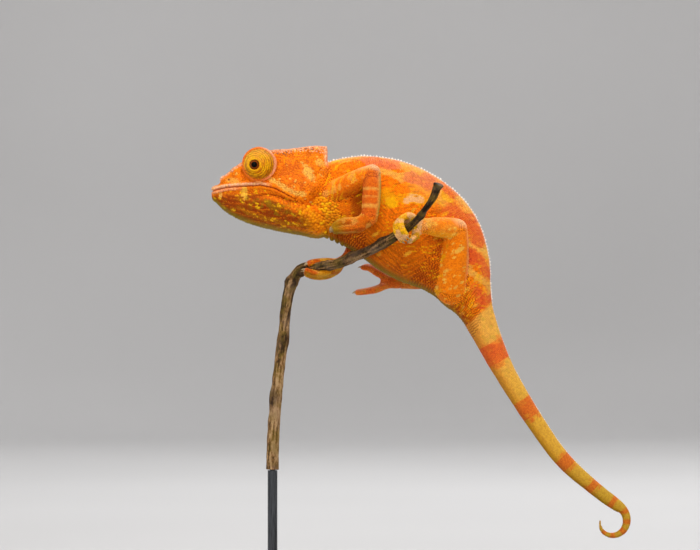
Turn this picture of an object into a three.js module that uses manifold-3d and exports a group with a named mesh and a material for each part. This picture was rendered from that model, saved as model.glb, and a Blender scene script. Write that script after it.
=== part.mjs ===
// A life-size still model of a female panther chameleon on a cut twig, held by a display stand.
// Millimetres, +Z up. The head points along -X, the tail along +X, and the animal's left side
// faces -Y. The origin is the middle of the stand base's underside.
import * as THREE from 'three';
import { mergeVertices } from 'three/addons/utils/BufferGeometryUtils.js';
import Module from 'manifold-3d';

const wasm = await Module();
wasm.setup();

// ---- Driving dimensions ----
const GAP = 0.3; // clearance between pieces that touch
const SIDES = { left: -1, right: 1 }; // the animal's left side lies on -Y

const BASE = { length: 184, width: 92, height: 10, corner: 14, chamfer: 1.5 };
const ROD = { x: -71, y: 6, radius: 2.2, foot: 3, top: 58, dowelRadius: 1.2, dowelTop: 68 };
const EYE = { x: -76.7, y: 7.6, z: 195.9, radius: 7.8, depth: 6.2 };
const PUPIL = { x: -78.7, z: 195.5, radius: 2.3, inset: 2.1 };
const MOUTH = { width: 40, steps: 16 }; // the cut that parts the jaws
const CLAW = { length: 2.4, radius: 0.6, sink: 0.7, sides: 5 }; // sunk into the toe by a share of its tip
const TOE = { rootRadius: 1.95, tipRadius: 1.45, pitch: 2.1, dome: 1.5 };
const NECKING = 0.86; // each length of a limb enters the next one this much slimmer
const SWELL = { upper: 1.12, lower: 1.08 }; // how much fuller a limb is midway than its ends
const SQUARENESS = { skull: 2.5, jaw: 2.2, toes: 2.6 }; // 2 is an ellipse, more is boxier
const LIP_DOME = 1.8;
const THROAT_DOME = 2.2;
const DOME = { rings: 2, angle: THREE.MathUtils.degToRad(80) }; // the round ends of limbs and toes
const RINGS = { perStation: 2.2, fewest: 5 }; // along each length of the torso and tail

// Sections of the body from inside the skull's back to the slim end of the tail:
// x and z on the back, x and z on the belly, half width, how much wider the back is than the belly.
const TORSO = [
  [-53, 192, -55, 170, 8.5, 0],
  [-46, 196.8, -49.5, 164.4, 10, -0.1],
  [-38.5, 198.8, -42.5, 161.2, 11, -0.15],
  [-29.5, 199.8, -36.5, 158, 12, -0.2],
  [-18, 198.6, -30, 153.6, 13.1, -0.2],
  [-7, 195.4, -21.6, 147.6, 13.6, -0.2],
  [3, 190.2, -13, 143.3, 13.6, -0.2],
  [11.5, 183.7, -4.5, 140.2, 13, -0.2],
  [18.6, 175.6, 2.2, 136.4, 12, -0.15],
  [23.7, 165.2, 6.8, 131.9, 10.6, -0.1],
  [26.7, 152, 11.2, 129, 9, 0],
  [27.3, 138.5, 15.2, 124.6, 7.4, 0],
  [29.6, 126.6, 18.5, 119, 5.9, 0],
  [37.3, 106, 28.8, 101.2, 4.6, 0],
  [50.3, 83.2, 43.4, 78.8, 3.8, 0],
  [62.7, 65.5, 57.3, 60.4, 3.3, 0],
  [77.2, 51.8, 73.1, 46.9, 2.8, 0],
  [86.1, 44.7, 82.5, 40.3, 2.45, 0],
];
// Where each length of the body ends, in stations of the table above and of the curl after it.
const LENGTHS = {
  neck: 2,
  chest: 4.5,
  belly: 7.6,
  hips: 11.4,
  tail_base: 13.4,
  tail_middle: 15,
  tail_end: 17,
};
const CURL = { heading: -42, pitch: 8, endPitch: 5, turn: 255, steps: 8, radius: 2.35, tipRadius: 0.8 };

// Upright sections of the skull, and of the lower jaw with its throat pouch, from the lips back:
// x, top, bottom, half width, how much wider the top is than the bottom.
const SKULL = [
  [-96.4, 186.4, 181.5, 2.8, 0],
  [-94.4, 189.5, 181, 4, -0.1],
  [-91, 192.3, 180.4, 5.2, -0.2],
  [-86, 196.3, 179.5, 6.4, -0.25],
  [-80, 200.4, 178.6, 7.4, -0.3],
  [-72, 202.6, 177.4, 9, -0.35],
  [-63, 203.2, 176.4, 11.4, -0.42],
  [-55.5, 204.2, 177, 11.6, -0.58],
  [-50, 204.6, 181, 9.4, -0.74],
  [-46.3, 204.2, 187, 6.4, -0.84],
];
const JAW = [
  [-96.4, 185, 178.8, 2.8, 0.1],
  [-93.5, 185, 175.8, 4.6, 0.15],
  [-88, 185, 172.2, 6.8, 0.2],
  [-79, 184.8, 168.5, 9.2, 0.25],
  [-68, 183.6, 165.8, 11.2, 0.25],
  [-58, 181.5, 164, 11.9, 0.2],
  [-50.5, 179, 162.5, 10.6, 0.15],
  [-46.8, 176, 163.8, 8.2, 0.1],
];
// The closed mouth in side view, x and z, from in front of the lips, past its corner, to behind the head.
const MOUTH_LINE = [
  [-104, 183],
  [-97, 184.4],
  [-91, 185.6],
  [-84, 186],
  [-76, 186.5],
  [-69.5, 185],
  [-61, 180.5],
  [-52, 176],
  [-36, 168],
];

// The twig, from its broken tip down to the cut: x, y, z, radius.
const TWIG = [
  [2.8, -41, 186, 1.9],
  [0.2, -39, 179.8, 1.45],
  [-4, -33.6, 173.8, 1.4],
  [-9, -28, 168.2, 1.6],
  [-16, -21.4, 163.4, 2.1],
  [-25, -16.4, 158.2, 2.25],
  [-33, -11.6, 154.8, 2.3],
  [-41, -6.4, 151.5, 2.2],
  [-50, -1.2, 150.2, 2.1],
  [-57.4, 2.8, 149, 2.5],
  [-61.8, 4.8, 143.6, 2.7],
  [-64.4, 5.6, 134.6, 2.4],
  [-66, 6, 121, 2.35],
  [-68.4, 6, 100, 2.5],
  [-70.4, 6, 78, 2.7],
  [-71, 6, 58.4, 2.9],
];

// Each limb is a list of joints, x, y, z and radius: shoulder or hip, elbow or knee, wrist or
// ankle, palm. Its two opposed bundles of toes each have a path, a spread and a toe count.
const LIMBS = {
  fore_left: {
    joints: [
      [-44.5, -6.5, 182.5, 4.9],
      [-25.9, -18.5, 192, 4],
      [-27, -21, 171.4, 3.9],
      [-32.4, -20.6, 168.8, 3.5],
    ],
    bundles: {
      outer: {
        path: [[-31, -21, 170.2], [-37, -20.8, 170.2], [-41.2, -20.4, 169.2], [-43.4, -19.8, 167.6]],
        spread: [0, 1, 0.2],
        count: 2,
      },
      inner: {
        path: [[-31, -20.6, 167], [-36.6, -20.2, 166.4], [-40.6, -19.8, 166.2], [-42.6, -19.6, 166]],
        spread: [0, 1, -0.2],
        count: 3,
      },
    },
  },
  fore_right: {
    joints: [
      [-44.5, 6.5, 182.5, 4.9],
      [-27, 16.5, 168, 4],
      [-37.6, 6.8, 153.6, 2.9],
      [-41, 3.6, 151.8, 2.8],
    ],
    bundles: {
      outer: {
        path: [[-40.6, 2.4, 151.8], [-46.4, 0.6, 152.3], [-51.6, 0.4, 152.1], [-54.4, -0.6, 151.4]],
        spread: [-0.1, 0.9, 0.1],
        count: 2,
      },
      inner: {
        path: [[-40.6, 2.8, 150], [-46, 1, 146.9], [-51.4, 0.2, 146.2], [-55.6, -0.6, 147.4]],
        spread: [0, 0.9, -0.4],
        count: 3,
      },
    },
  },
  hind_left: {
    joints: [
      [9, -6, 139.8, 7],
      [12, -14.6, 167, 4.8],
      [-2.6, -23.4, 168, 3.8],
      [-6.8, -21.6, 168.8, 3.3],
    ],
    bundles: {
      outer: {
        path: [[-7.4, -21, 170.2], [-11, -22.8, 171.4], [-14.3, -25.8, 169.9], [-14.5, -28.1, 167.2],
          [-13.5, -29, 164.6], [-12.2, -28.7, 162.9]],
        spread: [0.5, -0.72, 0.48],
        count: 3,
      },
      inner: {
        path: [[-6.6, -21.8, 166.4], [-7, -24.4, 163.4], [-8.9, -27, 161.8]],
        spread: [0.5, -0.72, 0.48],
        count: 2,
      },
    },
  },
  hind_right: {
    joints: [
      [9, 6, 139.8, 7],
      [5.5, 25.6, 145.4, 4.8],
      [-13.5, 21, 143.6, 4],
      [-18.6, 19.2, 143.4, 3.7],
    ],
    bundles: {
      outer: {
        path: [[-18, 19, 144.6], [-23.2, 17.8, 147.4], [-27, 17, 149.6], [-29.6, 16.4, 149.8]],
        spread: [0.2, 1, 0.1],
        count: 3,
      },
      inner: {
        path: [[-18, 18.8, 142], [-24.6, 17.2, 139.6], [-29, 16.2, 138.8], [-32.6, 15.4, 138.4]],
        spread: [0.1, 1, 0.1],
        count: 2,
      },
    },
  },
};

// ---- Finishes ----
const finish = (color, roughness, metalness = 0) =>
  new THREE.MeshStandardMaterial({ color, roughness, metalness });
const FINISHES = {
  skin: finish('#e0702a', 0.62),
  paleSkin: finish('#e0a04a', 0.62),
  eyelid: finish('#d98c2c', 0.55),
  pupil: finish('#0d0806', 0.12),
  bark: finish('#5e4a33', 0.9),
  steel: finish('#3a3c3f', 0.35, 0.9),
  stainedWood: finish('#3b2a20', 0.5),
};

// ---- Solids ----
// A closed geometry's merged copy as a manifold-3d solid.
function solid(geometry) {
  const bare = geometry.clone();
  for (const name of Object.keys(bare.attributes)) if (name !== 'position') bare.deleteAttribute(name);
  const merged = mergeVertices(bare, 1e-4);
  return new wasm.Manifold(new wasm.Mesh({
    numProp: 3,
    vertProperties: merged.attributes.position.array,
    triVerts: new Uint32Array(merged.index.array),
  }));
}

function geometryOf(body) {
  const { numProp, vertProperties, triVerts } = body.getMesh();
  const positions = new Float32Array((vertProperties.length / numProp) * 3);
  for (let i = 0; i * numProp < vertProperties.length; i++)
    positions.set(vertProperties.subarray(i * numProp, i * numProp + 3), i * 3);
  const geometry = new THREE.BufferGeometry();
  geometry.setAttribute('position', new THREE.BufferAttribute(positions, 3));
  geometry.setIndex(new THREE.BufferAttribute(triVerts, 1));
  geometry.computeVertexNormals();
  return geometry;
}

const byVolume = (a, b) => b.volume() - a.volume();
const largest = (body) => body.decompose().sort(byVolume)[0];
const union = (bodies) => bodies.reduce((a, b) => a.add(b));
const without = (body, ...others) => largest(others.reduce((a, b) => a.subtract(b), body));

// A smooth reading of a table of numbers at a fractional row, by Catmull-Rom through each column.
function reading(rows, place) {
  const last = rows.length - 1;
  const at = THREE.MathUtils.clamp(place, 0, last);
  const i = Math.min(Math.floor(at), last - 1);
  const f = at - i;
  const row = (k) => rows[THREE.MathUtils.clamp(k, 0, last)];
  return rows[0].map((_, c) => {
    const [a, b, d, e] = [row(i - 1)[c], row(i)[c], row(i + 1)[c], row(i + 2)[c]];
    return b + 0.5 * f * (d - a + f * (2 * a - 5 * b + 4 * d - e + f * (3 * (b - d) + e - a)));
  });
}

// A section is its middle, its half height and its half width as vectors, and its taper.
const section = (middle, high, wide, taper = 0) => [...middle, ...high, ...wide, taper];
const upright = ([x, top, bottom, wide, taper]) =>
  section([x, 0, (top + bottom) / 2], [0, 0, (top - bottom) / 2], [0, wide, 0], taper);
const fromBackToBelly = ([backX, backZ, bellyX, bellyZ, wide, taper]) =>
  section([(backX + bellyX) / 2, 0, (backZ + bellyZ) / 2], [(backX - bellyX) / 2, 0, (backZ - bellyZ) / 2],
    [0, wide, 0], taper);

// Round sections square to a path of x, y, z and radius, their width along the side direction.
function alongPath(points, side = [0, 1, 0]) {
  const at = (i) => new THREE.Vector3(...points[THREE.MathUtils.clamp(i, 0, points.length - 1)].slice(0, 3));
  return points.map(([x, y, z, radius], i) => {
    const tangent = at(i + 1).sub(at(i - 1)).normalize();
    const wide = new THREE.Vector3(...side);
    wide.addScaledVector(tangent, -wide.dot(tangent)).setLength(radius);
    return section([x, y, z], new THREE.Vector3().crossVectors(tangent, wide), wide);
  });
}

const power = (value, p) => Math.sign(value) * Math.abs(value) ** p;

// A body swept through sections: a cylinder whose rings take their places. grow swells it all
// round, and domeStart and domeEnd close its ends with domes of that height.
function sweep(sections, { sides = 16, rings = 12, from = 0, to = sections.length - 1, grow = 0,
  squareness = 2, domeStart = 0, domeEnd = 0 } = {}) {
  const startRings = domeStart ? DOME.rings : 0;
  const plainRings = rings - startRings - (domeEnd ? DOME.rings : 0);
  const geometry = new THREE.CylinderGeometry(1, 1, 1, sides, rings);
  const position = geometry.attributes.position;
  for (let i = 0; i < position.count; i++) {
    const ring = Math.round((0.5 - position.getY(i)) * rings) - startRings;
    const past = ring < 0 ? ring : Math.max(ring - plainRings, 0); // rings into a dome
    const turn = (Math.abs(past) / DOME.rings) * DOME.angle;
    let beyond = Math.sign(past) * ((past < 0 ? domeStart : domeEnd) + grow) * Math.sin(turn);
    if (grow && !startRings && ring === 0) beyond = -grow;
    if (grow && !domeEnd && ring === plainRings) beyond = grow;
    const place = from + ((to - from) * THREE.MathUtils.clamp(ring, 0, plainRings)) / plainRings;
    const row = reading(sections, place);
    const [middle, high, wide] = [0, 3, 6].map((column) => new THREE.Vector3().fromArray(row, column));
    const forward = new THREE.Vector3().crossVectors(wide, high).normalize();
    const reach = Math.hypot(position.getX(i), position.getZ(i)) * Math.cos(turn);
    const angle = Math.atan2(position.getZ(i), position.getX(i));
    const v = power(Math.sin(angle), 2 / squareness);
    const u = power(Math.cos(angle), 2 / squareness) * (1 + row[9] * v);
    middle.addScaledVector(forward, beyond)
      .addScaledVector(wide, u * reach * (1 + grow / wide.length()))
      .addScaledVector(high, v * reach * (1 + grow / high.length()))
      .toArray(position.array, i * 3);
  }
  return solid(geometry);
}

// ---- Torso and tail ----
// The tail's end curls under itself, each step shorter and slimmer than the one before.
function curl() {
  const [backX, backZ, bellyX, bellyZ] = TORSO.at(-1);
  const step = THREE.MathUtils.degToRad(CURL.turn) / CURL.steps;
  let heading = THREE.MathUtils.degToRad(CURL.heading);
  let [x, z] = [(backX + bellyX) / 2, (backZ + bellyZ) / 2];
  const points = [];
  for (let i = 1; i <= CURL.steps; i++) {
    const share = i / CURL.steps;
    const reach = THREE.MathUtils.lerp(CURL.pitch, CURL.endPitch, share) * step;
    x += reach * Math.cos(heading);
    z += reach * Math.sin(heading);
    heading -= step;
    points.push([x, 0, z, THREE.MathUtils.lerp(CURL.radius, CURL.tipRadius, share)]);
  }
  return alongPath(points);
}

const bodySections = [...TORSO.map(fromBackToBelly), ...curl()];

function torso(head) {
  const pieces = {};
  let from = 0;
  for (const [name, to] of Object.entries(LENGTHS)) {
    const rings = Math.max(RINGS.fewest, Math.round((to - from) * RINGS.perStation));
    pieces[name] = sweep(bodySections, { sides: name.startsWith('tail') ? 12 : 16, rings, from, to });
    const [here, ahead] = [reading(bodySections, to), reading(bodySections, to + 0.1)];
    from = to + (0.1 * GAP) / Math.hypot(ahead[0] - here[0], ahead[2] - here[2]);
  }
  pieces.tail_tip = sweep(bodySections, { sides: 8, rings: 15, from, domeEnd: CURL.tipRadius });
  pieces.neck = without(pieces.neck, head);
  return pieces;
}

// ---- Head ----
function mouthCut() {
  const line = new THREE.CatmullRomCurve3(MOUTH_LINE.map(([x, z]) => new THREE.Vector3(x, z, 0)));
  const points = line.getPoints(MOUTH.steps);
  const lower = points.map((p) => new THREE.Vector2(p.x, p.y - GAP / 2));
  const upper = points.reverse().map((p) => new THREE.Vector2(p.x, p.y + GAP / 2));
  const ribbon = new THREE.ExtrudeGeometry(new THREE.Shape([...lower, ...upper]),
    { depth: MOUTH.width, bevelEnabled: false });
  return solid(ribbon.translate(0, 0, -MOUTH.width / 2).rotateX(Math.PI / 2));
}

const skull = (grow) =>
  sweep(SKULL.map(upright), { rings: 13, squareness: SQUARENESS.skull, domeStart: LIP_DOME, grow });
const jaw = (grow) =>
  sweep(JAW.map(upright),
    { rings: 12, squareness: SQUARENESS.jaw, domeStart: LIP_DOME, domeEnd: THROAT_DOME, grow });

// The eye turret is a dome that bulges sideways, with a round opening over the eyeball.
function turret(hand, grow = 0) {
  const dome = new THREE.SphereGeometry(1, 12, 8);
  dome.rotateX(Math.PI / 2).scale(EYE.radius + grow, EYE.depth + grow, EYE.radius + grow);
  return solid(dome.translate(EYE.x, hand * EYE.y, EYE.z));
}

function eyeball(hand, grow = 0) {
  const ball = new THREE.SphereGeometry(PUPIL.radius + grow, 8, 6);
  return solid(ball.translate(PUPIL.x, hand * (EYE.y + EYE.depth - PUPIL.inset), PUPIL.z));
}

function head() {
  const whole = skull(0).add(jaw(0)).subtract(turret(SIDES.left, GAP)).subtract(turret(SIDES.right, GAP));
  const halves = whole.subtract(mouthCut()).decompose().sort(byVolume).slice(0, 2);
  const top = (body) => body.boundingBox().max[2];
  const [upper, lower] = halves.sort((a, b) => top(b) - top(a));
  return { head: upper, lower_jaw: lower };
}

// ---- Limbs ----
function limbLength(a, b, { grow = 0, swell = 1 } = {}) {
  const middle = a.map((value, i) => ((value + b[i]) / 2) * (i === 3 ? swell : 1));
  const isAcross = Math.abs(a[1] - b[1]) > Math.hypot(a[0] - b[0], a[2] - b[2]);
  const sections = alongPath([a, middle, b], isAcross ? [1, 0, 0] : [0, 1, 0]);
  return sweep(sections, { sides: 8, rings: 2 + 2 * DOME.rings, domeStart: a[3], domeEnd: b[3], grow });
}

function claw(tip, before) {
  const heading = tip.clone().sub(before).normalize();
  const cone = new THREE.ConeGeometry(CLAW.radius, CLAW.length, CLAW.sides);
  cone.translate(0, CLAW.length / 2, 0)
    .applyQuaternion(new THREE.Quaternion().setFromUnitVectors(new THREE.Vector3(0, 1, 0), heading))
    .translate(...tip.clone().addScaledVector(heading, TOE.tipRadius * CLAW.sink).toArray());
  return solid(cone);
}

// One bundle of toes fused into a mitten, as wide as its toes side by side, with a claw for each.
function toeBundle({ path, spread, count }) {
  const across = new THREE.Vector3(...spread).normalize();
  const halfSpan = ((count - 1) / 2) * TOE.pitch;
  const sections = alongPath(path.map((point, i) =>
    [...point, THREE.MathUtils.lerp(TOE.rootRadius, TOE.tipRadius, i / (path.length - 1))]), spread);
  for (const row of sections) {
    const wide = new THREE.Vector3().fromArray(row, 6);
    wide.setLength(wide.length() + halfSpan).toArray(row, 6);
  }
  const [tip, before] = [new THREE.Vector3(...path.at(-1)), new THREE.Vector3(...path.at(-2))];
  const mitten = sweep(sections,
    { sides: 8, rings: 8, squareness: SQUARENESS.toes, domeStart: TOE.dome, domeEnd: TOE.tipRadius });
  const claws = Array.from({ length: count }, (_, toe) => {
    const shift = across.clone().multiplyScalar(toe * TOE.pitch - halfSpan);
    return claw(tip.clone().add(shift), before.clone().add(shift));
  });
  return union([mitten, ...claws]);
}

function limb(name, { joints, bundles }, obstacles) {
  const [root, bend, end, palm] = joints;
  const isHind = name.startsWith('hind');
  const [upper, lower, foot] = isHind ? ['thigh', 'shin', 'foot'] : ['upper_arm', 'forearm', 'hand'];
  const slimmer = ([x, y, z, radius]) => [x, y, z, radius * NECKING];
  const lowerLength = (grow) => limbLength(bend, slimmer(end), { grow, swell: SWELL.lower });
  const footLength = (grow) => limbLength(end, palm, { grow });
  const outer = toeBundle(bundles.outer);
  const around = [lowerLength(GAP), footLength(GAP), ...obstacles];
  const pieces = {
    [upper]: without(limbLength(root, slimmer(bend), { swell: SWELL.upper }), lowerLength(GAP), ...obstacles),
    [lower]: without(lowerLength(0), footLength(GAP), ...obstacles),
    [foot]: without(footLength(0), ...obstacles),
    toes_outer: without(outer, ...around),
    toes_inner: without(toeBundle(bundles.inner), outer, ...around),
  };
  return Object.fromEntries(Object.entries(pieces).map(([piece, body]) => [`${piece}_${name}`, body]));
}

// ---- Twig and stand ----
const twig = (grow = 0) => sweep(alongPath(TWIG, [0.3, 1, 0]), { sides: 8, rings: 24, grow });

function rod(grow = 0) {
  const [radius, dowel] = [ROD.radius + grow, ROD.dowelRadius + grow];
  const outline = [
    [0, ROD.foot - grow],
    [radius, ROD.foot - grow],
    [radius, ROD.top],
    [dowel, ROD.top],
    [dowel, ROD.dowelTop + grow],
    [0, ROD.dowelTop + grow],
  ];
  const turned = new THREE.LatheGeometry(outline.map(([r, z]) => new THREE.Vector2(r, z)), 16);
  return solid(turned.rotateX(Math.PI / 2).translate(ROD.x, ROD.y, 0));
}

function base() {
  const { length, width, height, corner, chamfer } = BASE;
  const [x, y, r] = [length / 2 - chamfer, width / 2 - chamfer, corner - chamfer];
  const outline = new THREE.Shape();
  outline.absarc(x - r, y - r, r, 0, Math.PI / 2);
  outline.absarc(r - x, y - r, r, Math.PI / 2, Math.PI);
  outline.absarc(r - x, r - y, r, Math.PI, Math.PI * 1.5);
  outline.absarc(x - r, r - y, r, Math.PI * 1.5, Math.PI * 2);
  const plate = new THREE.ExtrudeGeometry(outline, { depth: height - 2 * chamfer, bevelSize: chamfer,
    bevelThickness: chamfer, bevelSegments: 1, curveSegments: 3 });
  return solid(plate.translate(0, 0, chamfer));
}

// ---- Assembly ----
const model = new THREE.Group();
function place(pieces, material) {
  for (const [name, body] of Object.entries(pieces)) {
    const mesh = new THREE.Mesh(geometryOf(body), material);
    mesh.name = name;
    model.add(mesh);
  }
}

const headBody = skull(GAP).add(jaw(GAP));
const torsoBody = sweep(bodySections, { rings: 36, to: LENGTHS.tail_base, grow: GAP });
const obstacles = [torsoBody, headBody, twig(GAP)];

place(torso(headBody), FINISHES.skin);
place(head(), FINISHES.skin);
for (const [name, hand] of Object.entries(SIDES)) {
  const lid = without(turret(hand), turret(-hand, GAP), eyeball(hand, GAP));
  place({ [`eye_turret_${name}`]: lid }, FINISHES.eyelid);
  place({ [`eyeball_${name}`]: eyeball(hand) }, FINISHES.pupil);
}
for (const [name, parts] of Object.entries(LIMBS)) place(limb(name, parts, obstacles), FINISHES.paleSkin);
place({ twig_perch: without(twig(), rod(GAP)) }, FINISHES.bark);
place({ stand_rod: rod() }, FINISHES.steel);
place({ stand_base: without(base(), rod(GAP)) }, FINISHES.stainedWood);

export default model;
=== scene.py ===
# A life-size still model of a female panther chameleon on a cut twig, held by a display stand.
# Tables and working arrays are in millimetres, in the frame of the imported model: +Z is up, the
# head points along -X and the animal's left side faces -Y. Meshes are in metres.
import math

import bmesh
import bpy
import numpy as np
from bpy.props import FloatProperty, FloatVectorProperty, PointerProperty
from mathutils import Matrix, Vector
from mathutils.bvhtree import BVHTree


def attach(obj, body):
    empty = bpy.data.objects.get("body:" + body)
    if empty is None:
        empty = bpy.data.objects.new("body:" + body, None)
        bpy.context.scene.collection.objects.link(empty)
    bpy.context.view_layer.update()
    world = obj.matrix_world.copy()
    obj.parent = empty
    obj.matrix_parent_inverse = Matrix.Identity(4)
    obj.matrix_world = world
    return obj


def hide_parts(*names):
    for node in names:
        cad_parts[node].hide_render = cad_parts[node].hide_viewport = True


bl_info = {
    "name": "Chameleon Display Model",
    "version": (1, 0, 0),
    "blender": (4, 5, 0),
    "location": "3D View > Sidebar > Chameleon",
    "description": "Skin, scales, eyes, claws, twig and stand of a life-size chameleon model",
    "category": "Object",
}

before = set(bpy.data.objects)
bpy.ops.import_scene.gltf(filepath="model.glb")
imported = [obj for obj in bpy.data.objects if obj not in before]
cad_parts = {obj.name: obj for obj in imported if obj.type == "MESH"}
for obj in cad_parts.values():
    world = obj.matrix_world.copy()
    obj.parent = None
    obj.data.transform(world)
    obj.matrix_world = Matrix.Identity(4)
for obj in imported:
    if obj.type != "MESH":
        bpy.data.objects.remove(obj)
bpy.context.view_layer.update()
MM = 0.001
SEED = 7

# ---- The animal's driving tables, as in the solids ----
TORSO = [
    [-53, 192, -55, 170, 8.5, 0],
    [-46, 196.8, -49.5, 164.4, 10, -0.1],
    [-38.5, 198.8, -42.5, 161.2, 11, -0.15],
    [-29.5, 199.8, -36.5, 158, 12, -0.2],
    [-18, 198.6, -30, 153.6, 13.1, -0.2],
    [-7, 195.4, -21.6, 147.6, 13.6, -0.2],
    [3, 190.2, -13, 143.3, 13.6, -0.2],
    [11.5, 183.7, -4.5, 140.2, 13, -0.2],
    [18.6, 175.6, 2.2, 136.4, 12, -0.15],
    [23.7, 165.2, 6.8, 131.9, 10.6, -0.1],
    [26.7, 152, 11.2, 129, 9, 0],
    [27.3, 138.5, 15.2, 124.6, 7.4, 0],
    [29.6, 126.6, 18.5, 119, 5.9, 0],
    [37.3, 106, 28.8, 101.2, 4.6, 0],
    [50.3, 83.2, 43.4, 78.8, 3.8, 0],
    [62.7, 65.5, 57.3, 60.4, 3.3, 0],
    [77.2, 51.8, 73.1, 46.9, 2.8, 0],
    [86.1, 44.7, 82.5, 40.3, 2.45, 0],
]
CURL = {"heading": -42, "pitch": 8, "end_pitch": 5, "turn": 255, "steps": 8, "radius": 2.35, "tip": 0.8}
SKULL = [
    [-96.4, 186.4, 181.5, 2.8, 0],
    [-94.4, 189.5, 181, 4, -0.1],
    [-91, 192.3, 180.4, 5.2, -0.2],
    [-86, 196.3, 179.5, 6.4, -0.25],
    [-80, 200.4, 178.6, 7.4, -0.3],
    [-72, 202.6, 177.4, 9, -0.35],
    [-63, 203.2, 176.4, 11.4, -0.42],
    [-55.5, 204.2, 177, 11.6, -0.58],
    [-50, 204.6, 181, 9.4, -0.74],
    [-46.3, 204.2, 187, 6.4, -0.84],
]
JAW = [
    [-96.4, 185, 178.8, 2.8, 0.1],
    [-93.5, 185, 175.8, 4.6, 0.15],
    [-88, 185, 172.2, 6.8, 0.2],
    [-79, 184.8, 168.5, 9.2, 0.25],
    [-68, 183.6, 165.8, 11.2, 0.25],
    [-58, 181.5, 164, 11.9, 0.2],
    [-50.5, 179, 162.5, 10.6, 0.15],
    [-46.8, 176, 163.8, 8.2, 0.1],
]
EYE = {"x": -76.7, "y": 7.6, "z": 195.9, "radius": 7.8, "depth": 6.2}
PUPIL = {"x": -78.7, "z": 195.5, "radius": 2.3, "inset": 2.1}
TOE = {"root": 1.95, "tip": 1.45, "pitch": 2.1}
LIMBS = {
    "fore_left": {
        "joints": [[-44.5, -6.5, 182.5, 4.9], [-25.9, -18.5, 192, 4],
                   [-27, -21, 171.4, 3.9], [-32.4, -20.6, 168.8, 3.5]],
        "outer": ([[-31, -21, 170.2], [-37, -20.8, 170.2], [-41.2, -20.4, 169.2], [-43.4, -19.8, 167.6]],
                  [0, 1, 0.2], 2),
        "inner": ([[-31, -20.6, 167], [-36.6, -20.2, 166.4], [-40.6, -19.8, 166.2], [-42.6, -19.6, 166]],
                  [0, 1, -0.2], 3),
    },
    "fore_right": {
        "joints": [[-44.5, 6.5, 182.5, 4.9], [-27, 16.5, 168, 4],
                   [-37.6, 6.8, 153.6, 2.9], [-41, 3.6, 151.8, 2.8]],
        "outer": ([[-40.6, 2.4, 151.8], [-46.4, 0.6, 152.3], [-51.6, 0.4, 152.1], [-54.4, -0.6, 151.4]],
                  [-0.1, 0.9, 0.1], 2),
        "inner": ([[-40.6, 2.8, 150], [-46, 1, 146.9], [-51.4, 0.2, 146.2], [-55.6, -0.6, 147.4]],
                  [0, 0.9, -0.4], 3),
    },
    "hind_left": {
        "joints": [[9, -6, 139.8, 7], [12, -14.6, 167, 4.8],
                   [-2.6, -23.4, 168, 3.8], [-6.8, -21.6, 168.8, 3.3]],
        "outer": ([[-7.4, -21, 170.2], [-11, -22.8, 171.4], [-14.3, -25.8, 169.9], [-14.5, -28.1, 167.2],
                   [-13.5, -29, 164.6], [-12.2, -28.7, 162.9]],
                  [0.5, -0.72, 0.48], 3),
        "inner": ([[-6.6, -21.8, 166.4], [-7, -24.4, 163.4], [-8.9, -27, 161.8]],
                  [0.5, -0.72, 0.48], 2),
    },
    "hind_right": {
        "joints": [[9, 6, 139.8, 7], [5.5, 25.6, 145.4, 4.8],
                   [-13.5, 21, 143.6, 4], [-18.6, 19.2, 143.4, 3.7]],
        "outer": ([[-18, 19, 144.6], [-23.2, 17.8, 147.4], [-27, 17, 149.6], [-29.6, 16.4, 149.8]],
                  [0.2, 1, 0.1], 3),
        "inner": ([[-18, 18.8, 142], [-24.6, 17.2, 139.6], [-29, 16.2, 138.8], [-32.6, 15.4, 138.4]],
                  [0.1, 1, 0.1], 2),
    },
}
TWIG_LENGTH = 180
TWIG = [
    [2.8, -41, 186, 1.9], [0.2, -39, 179.8, 1.45], [-4, -33.6, 173.8, 1.4], [-9, -28, 168.2, 1.6],
    [-16, -21.4, 163.4, 2.1], [-25, -16.4, 158.2, 2.25], [-33, -11.6, 154.8, 2.3],
    [-41, -6.4, 151.5, 2.2], [-50, -1.2, 150.2, 2.1], [-57.4, 2.8, 149, 2.5],
    [-61.8, 4.8, 143.6, 2.7], [-64.4, 5.6, 134.6, 2.4], [-66, 6, 121, 2.35], [-68.4, 6, 100, 2.5],
    [-70.4, 6, 78, 2.7], [-71, 6, 58.4, 2.9],
]
# Lines on the side of the head, x and z: the closed mouth, the crease under the lower lip, and
# the crease between head and neck.
MOUTH = [[-98, 184], [-94, 185], [-91, 185.6], [-84, 186], [-76, 186.5], [-69.5, 185], [-64.4, 182.3],
         [-60.4, 180.2]]
LIP_CREASE = [[-80, 181.4], [-74, 182.3], [-69, 181.9], [-63, 179.6], [-59.5, 179]]
NECK_CREASE = [[-46.5, 197.5], [-51.3, 190.4], [-53.1, 186.3], [-57.6, 182.3], [-60, 180.4]]
SQUARENESS = {"skull": 2.5, "jaw": 2.2}
LID_EDGE = 0.97  # the share of the turret's radius that the rings of its scales fill
# Places in side view: x and z, then where given the half width and half height.
NOSTRIL = (-90.5, 189)
GULAR = (-50, 173, 9, 10)
HIP = (15, 138, 9, 9)
PALE_FLANK = (-8, 180, 4.4, 1.6, -4, 1.5)
# The spacing of the tail's scales at stations from its root to its tip.
TAIL_STATIONS, TAIL_SPACING = [11, 13, 17, 25], [0.7, 0.58, 0.42]
TAIL_START = 11.8
ANKLE = 1.9  # the stage along a limb where its foot begins
HEX_ROW = 0.866  # the step between rows of a hexagonal lattice, for places one unit apart
NEAR_NOTHING = 1e-6


# ---- Arrays: sections, surfaces, noise ----
def smoothstep(low, high, value):
    """0 up to low, rising smoothly to 1 at high."""
    share = np.clip((value - low) / (high - low), 0, 1)
    return share * share * (3 - 2 * share)


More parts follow.
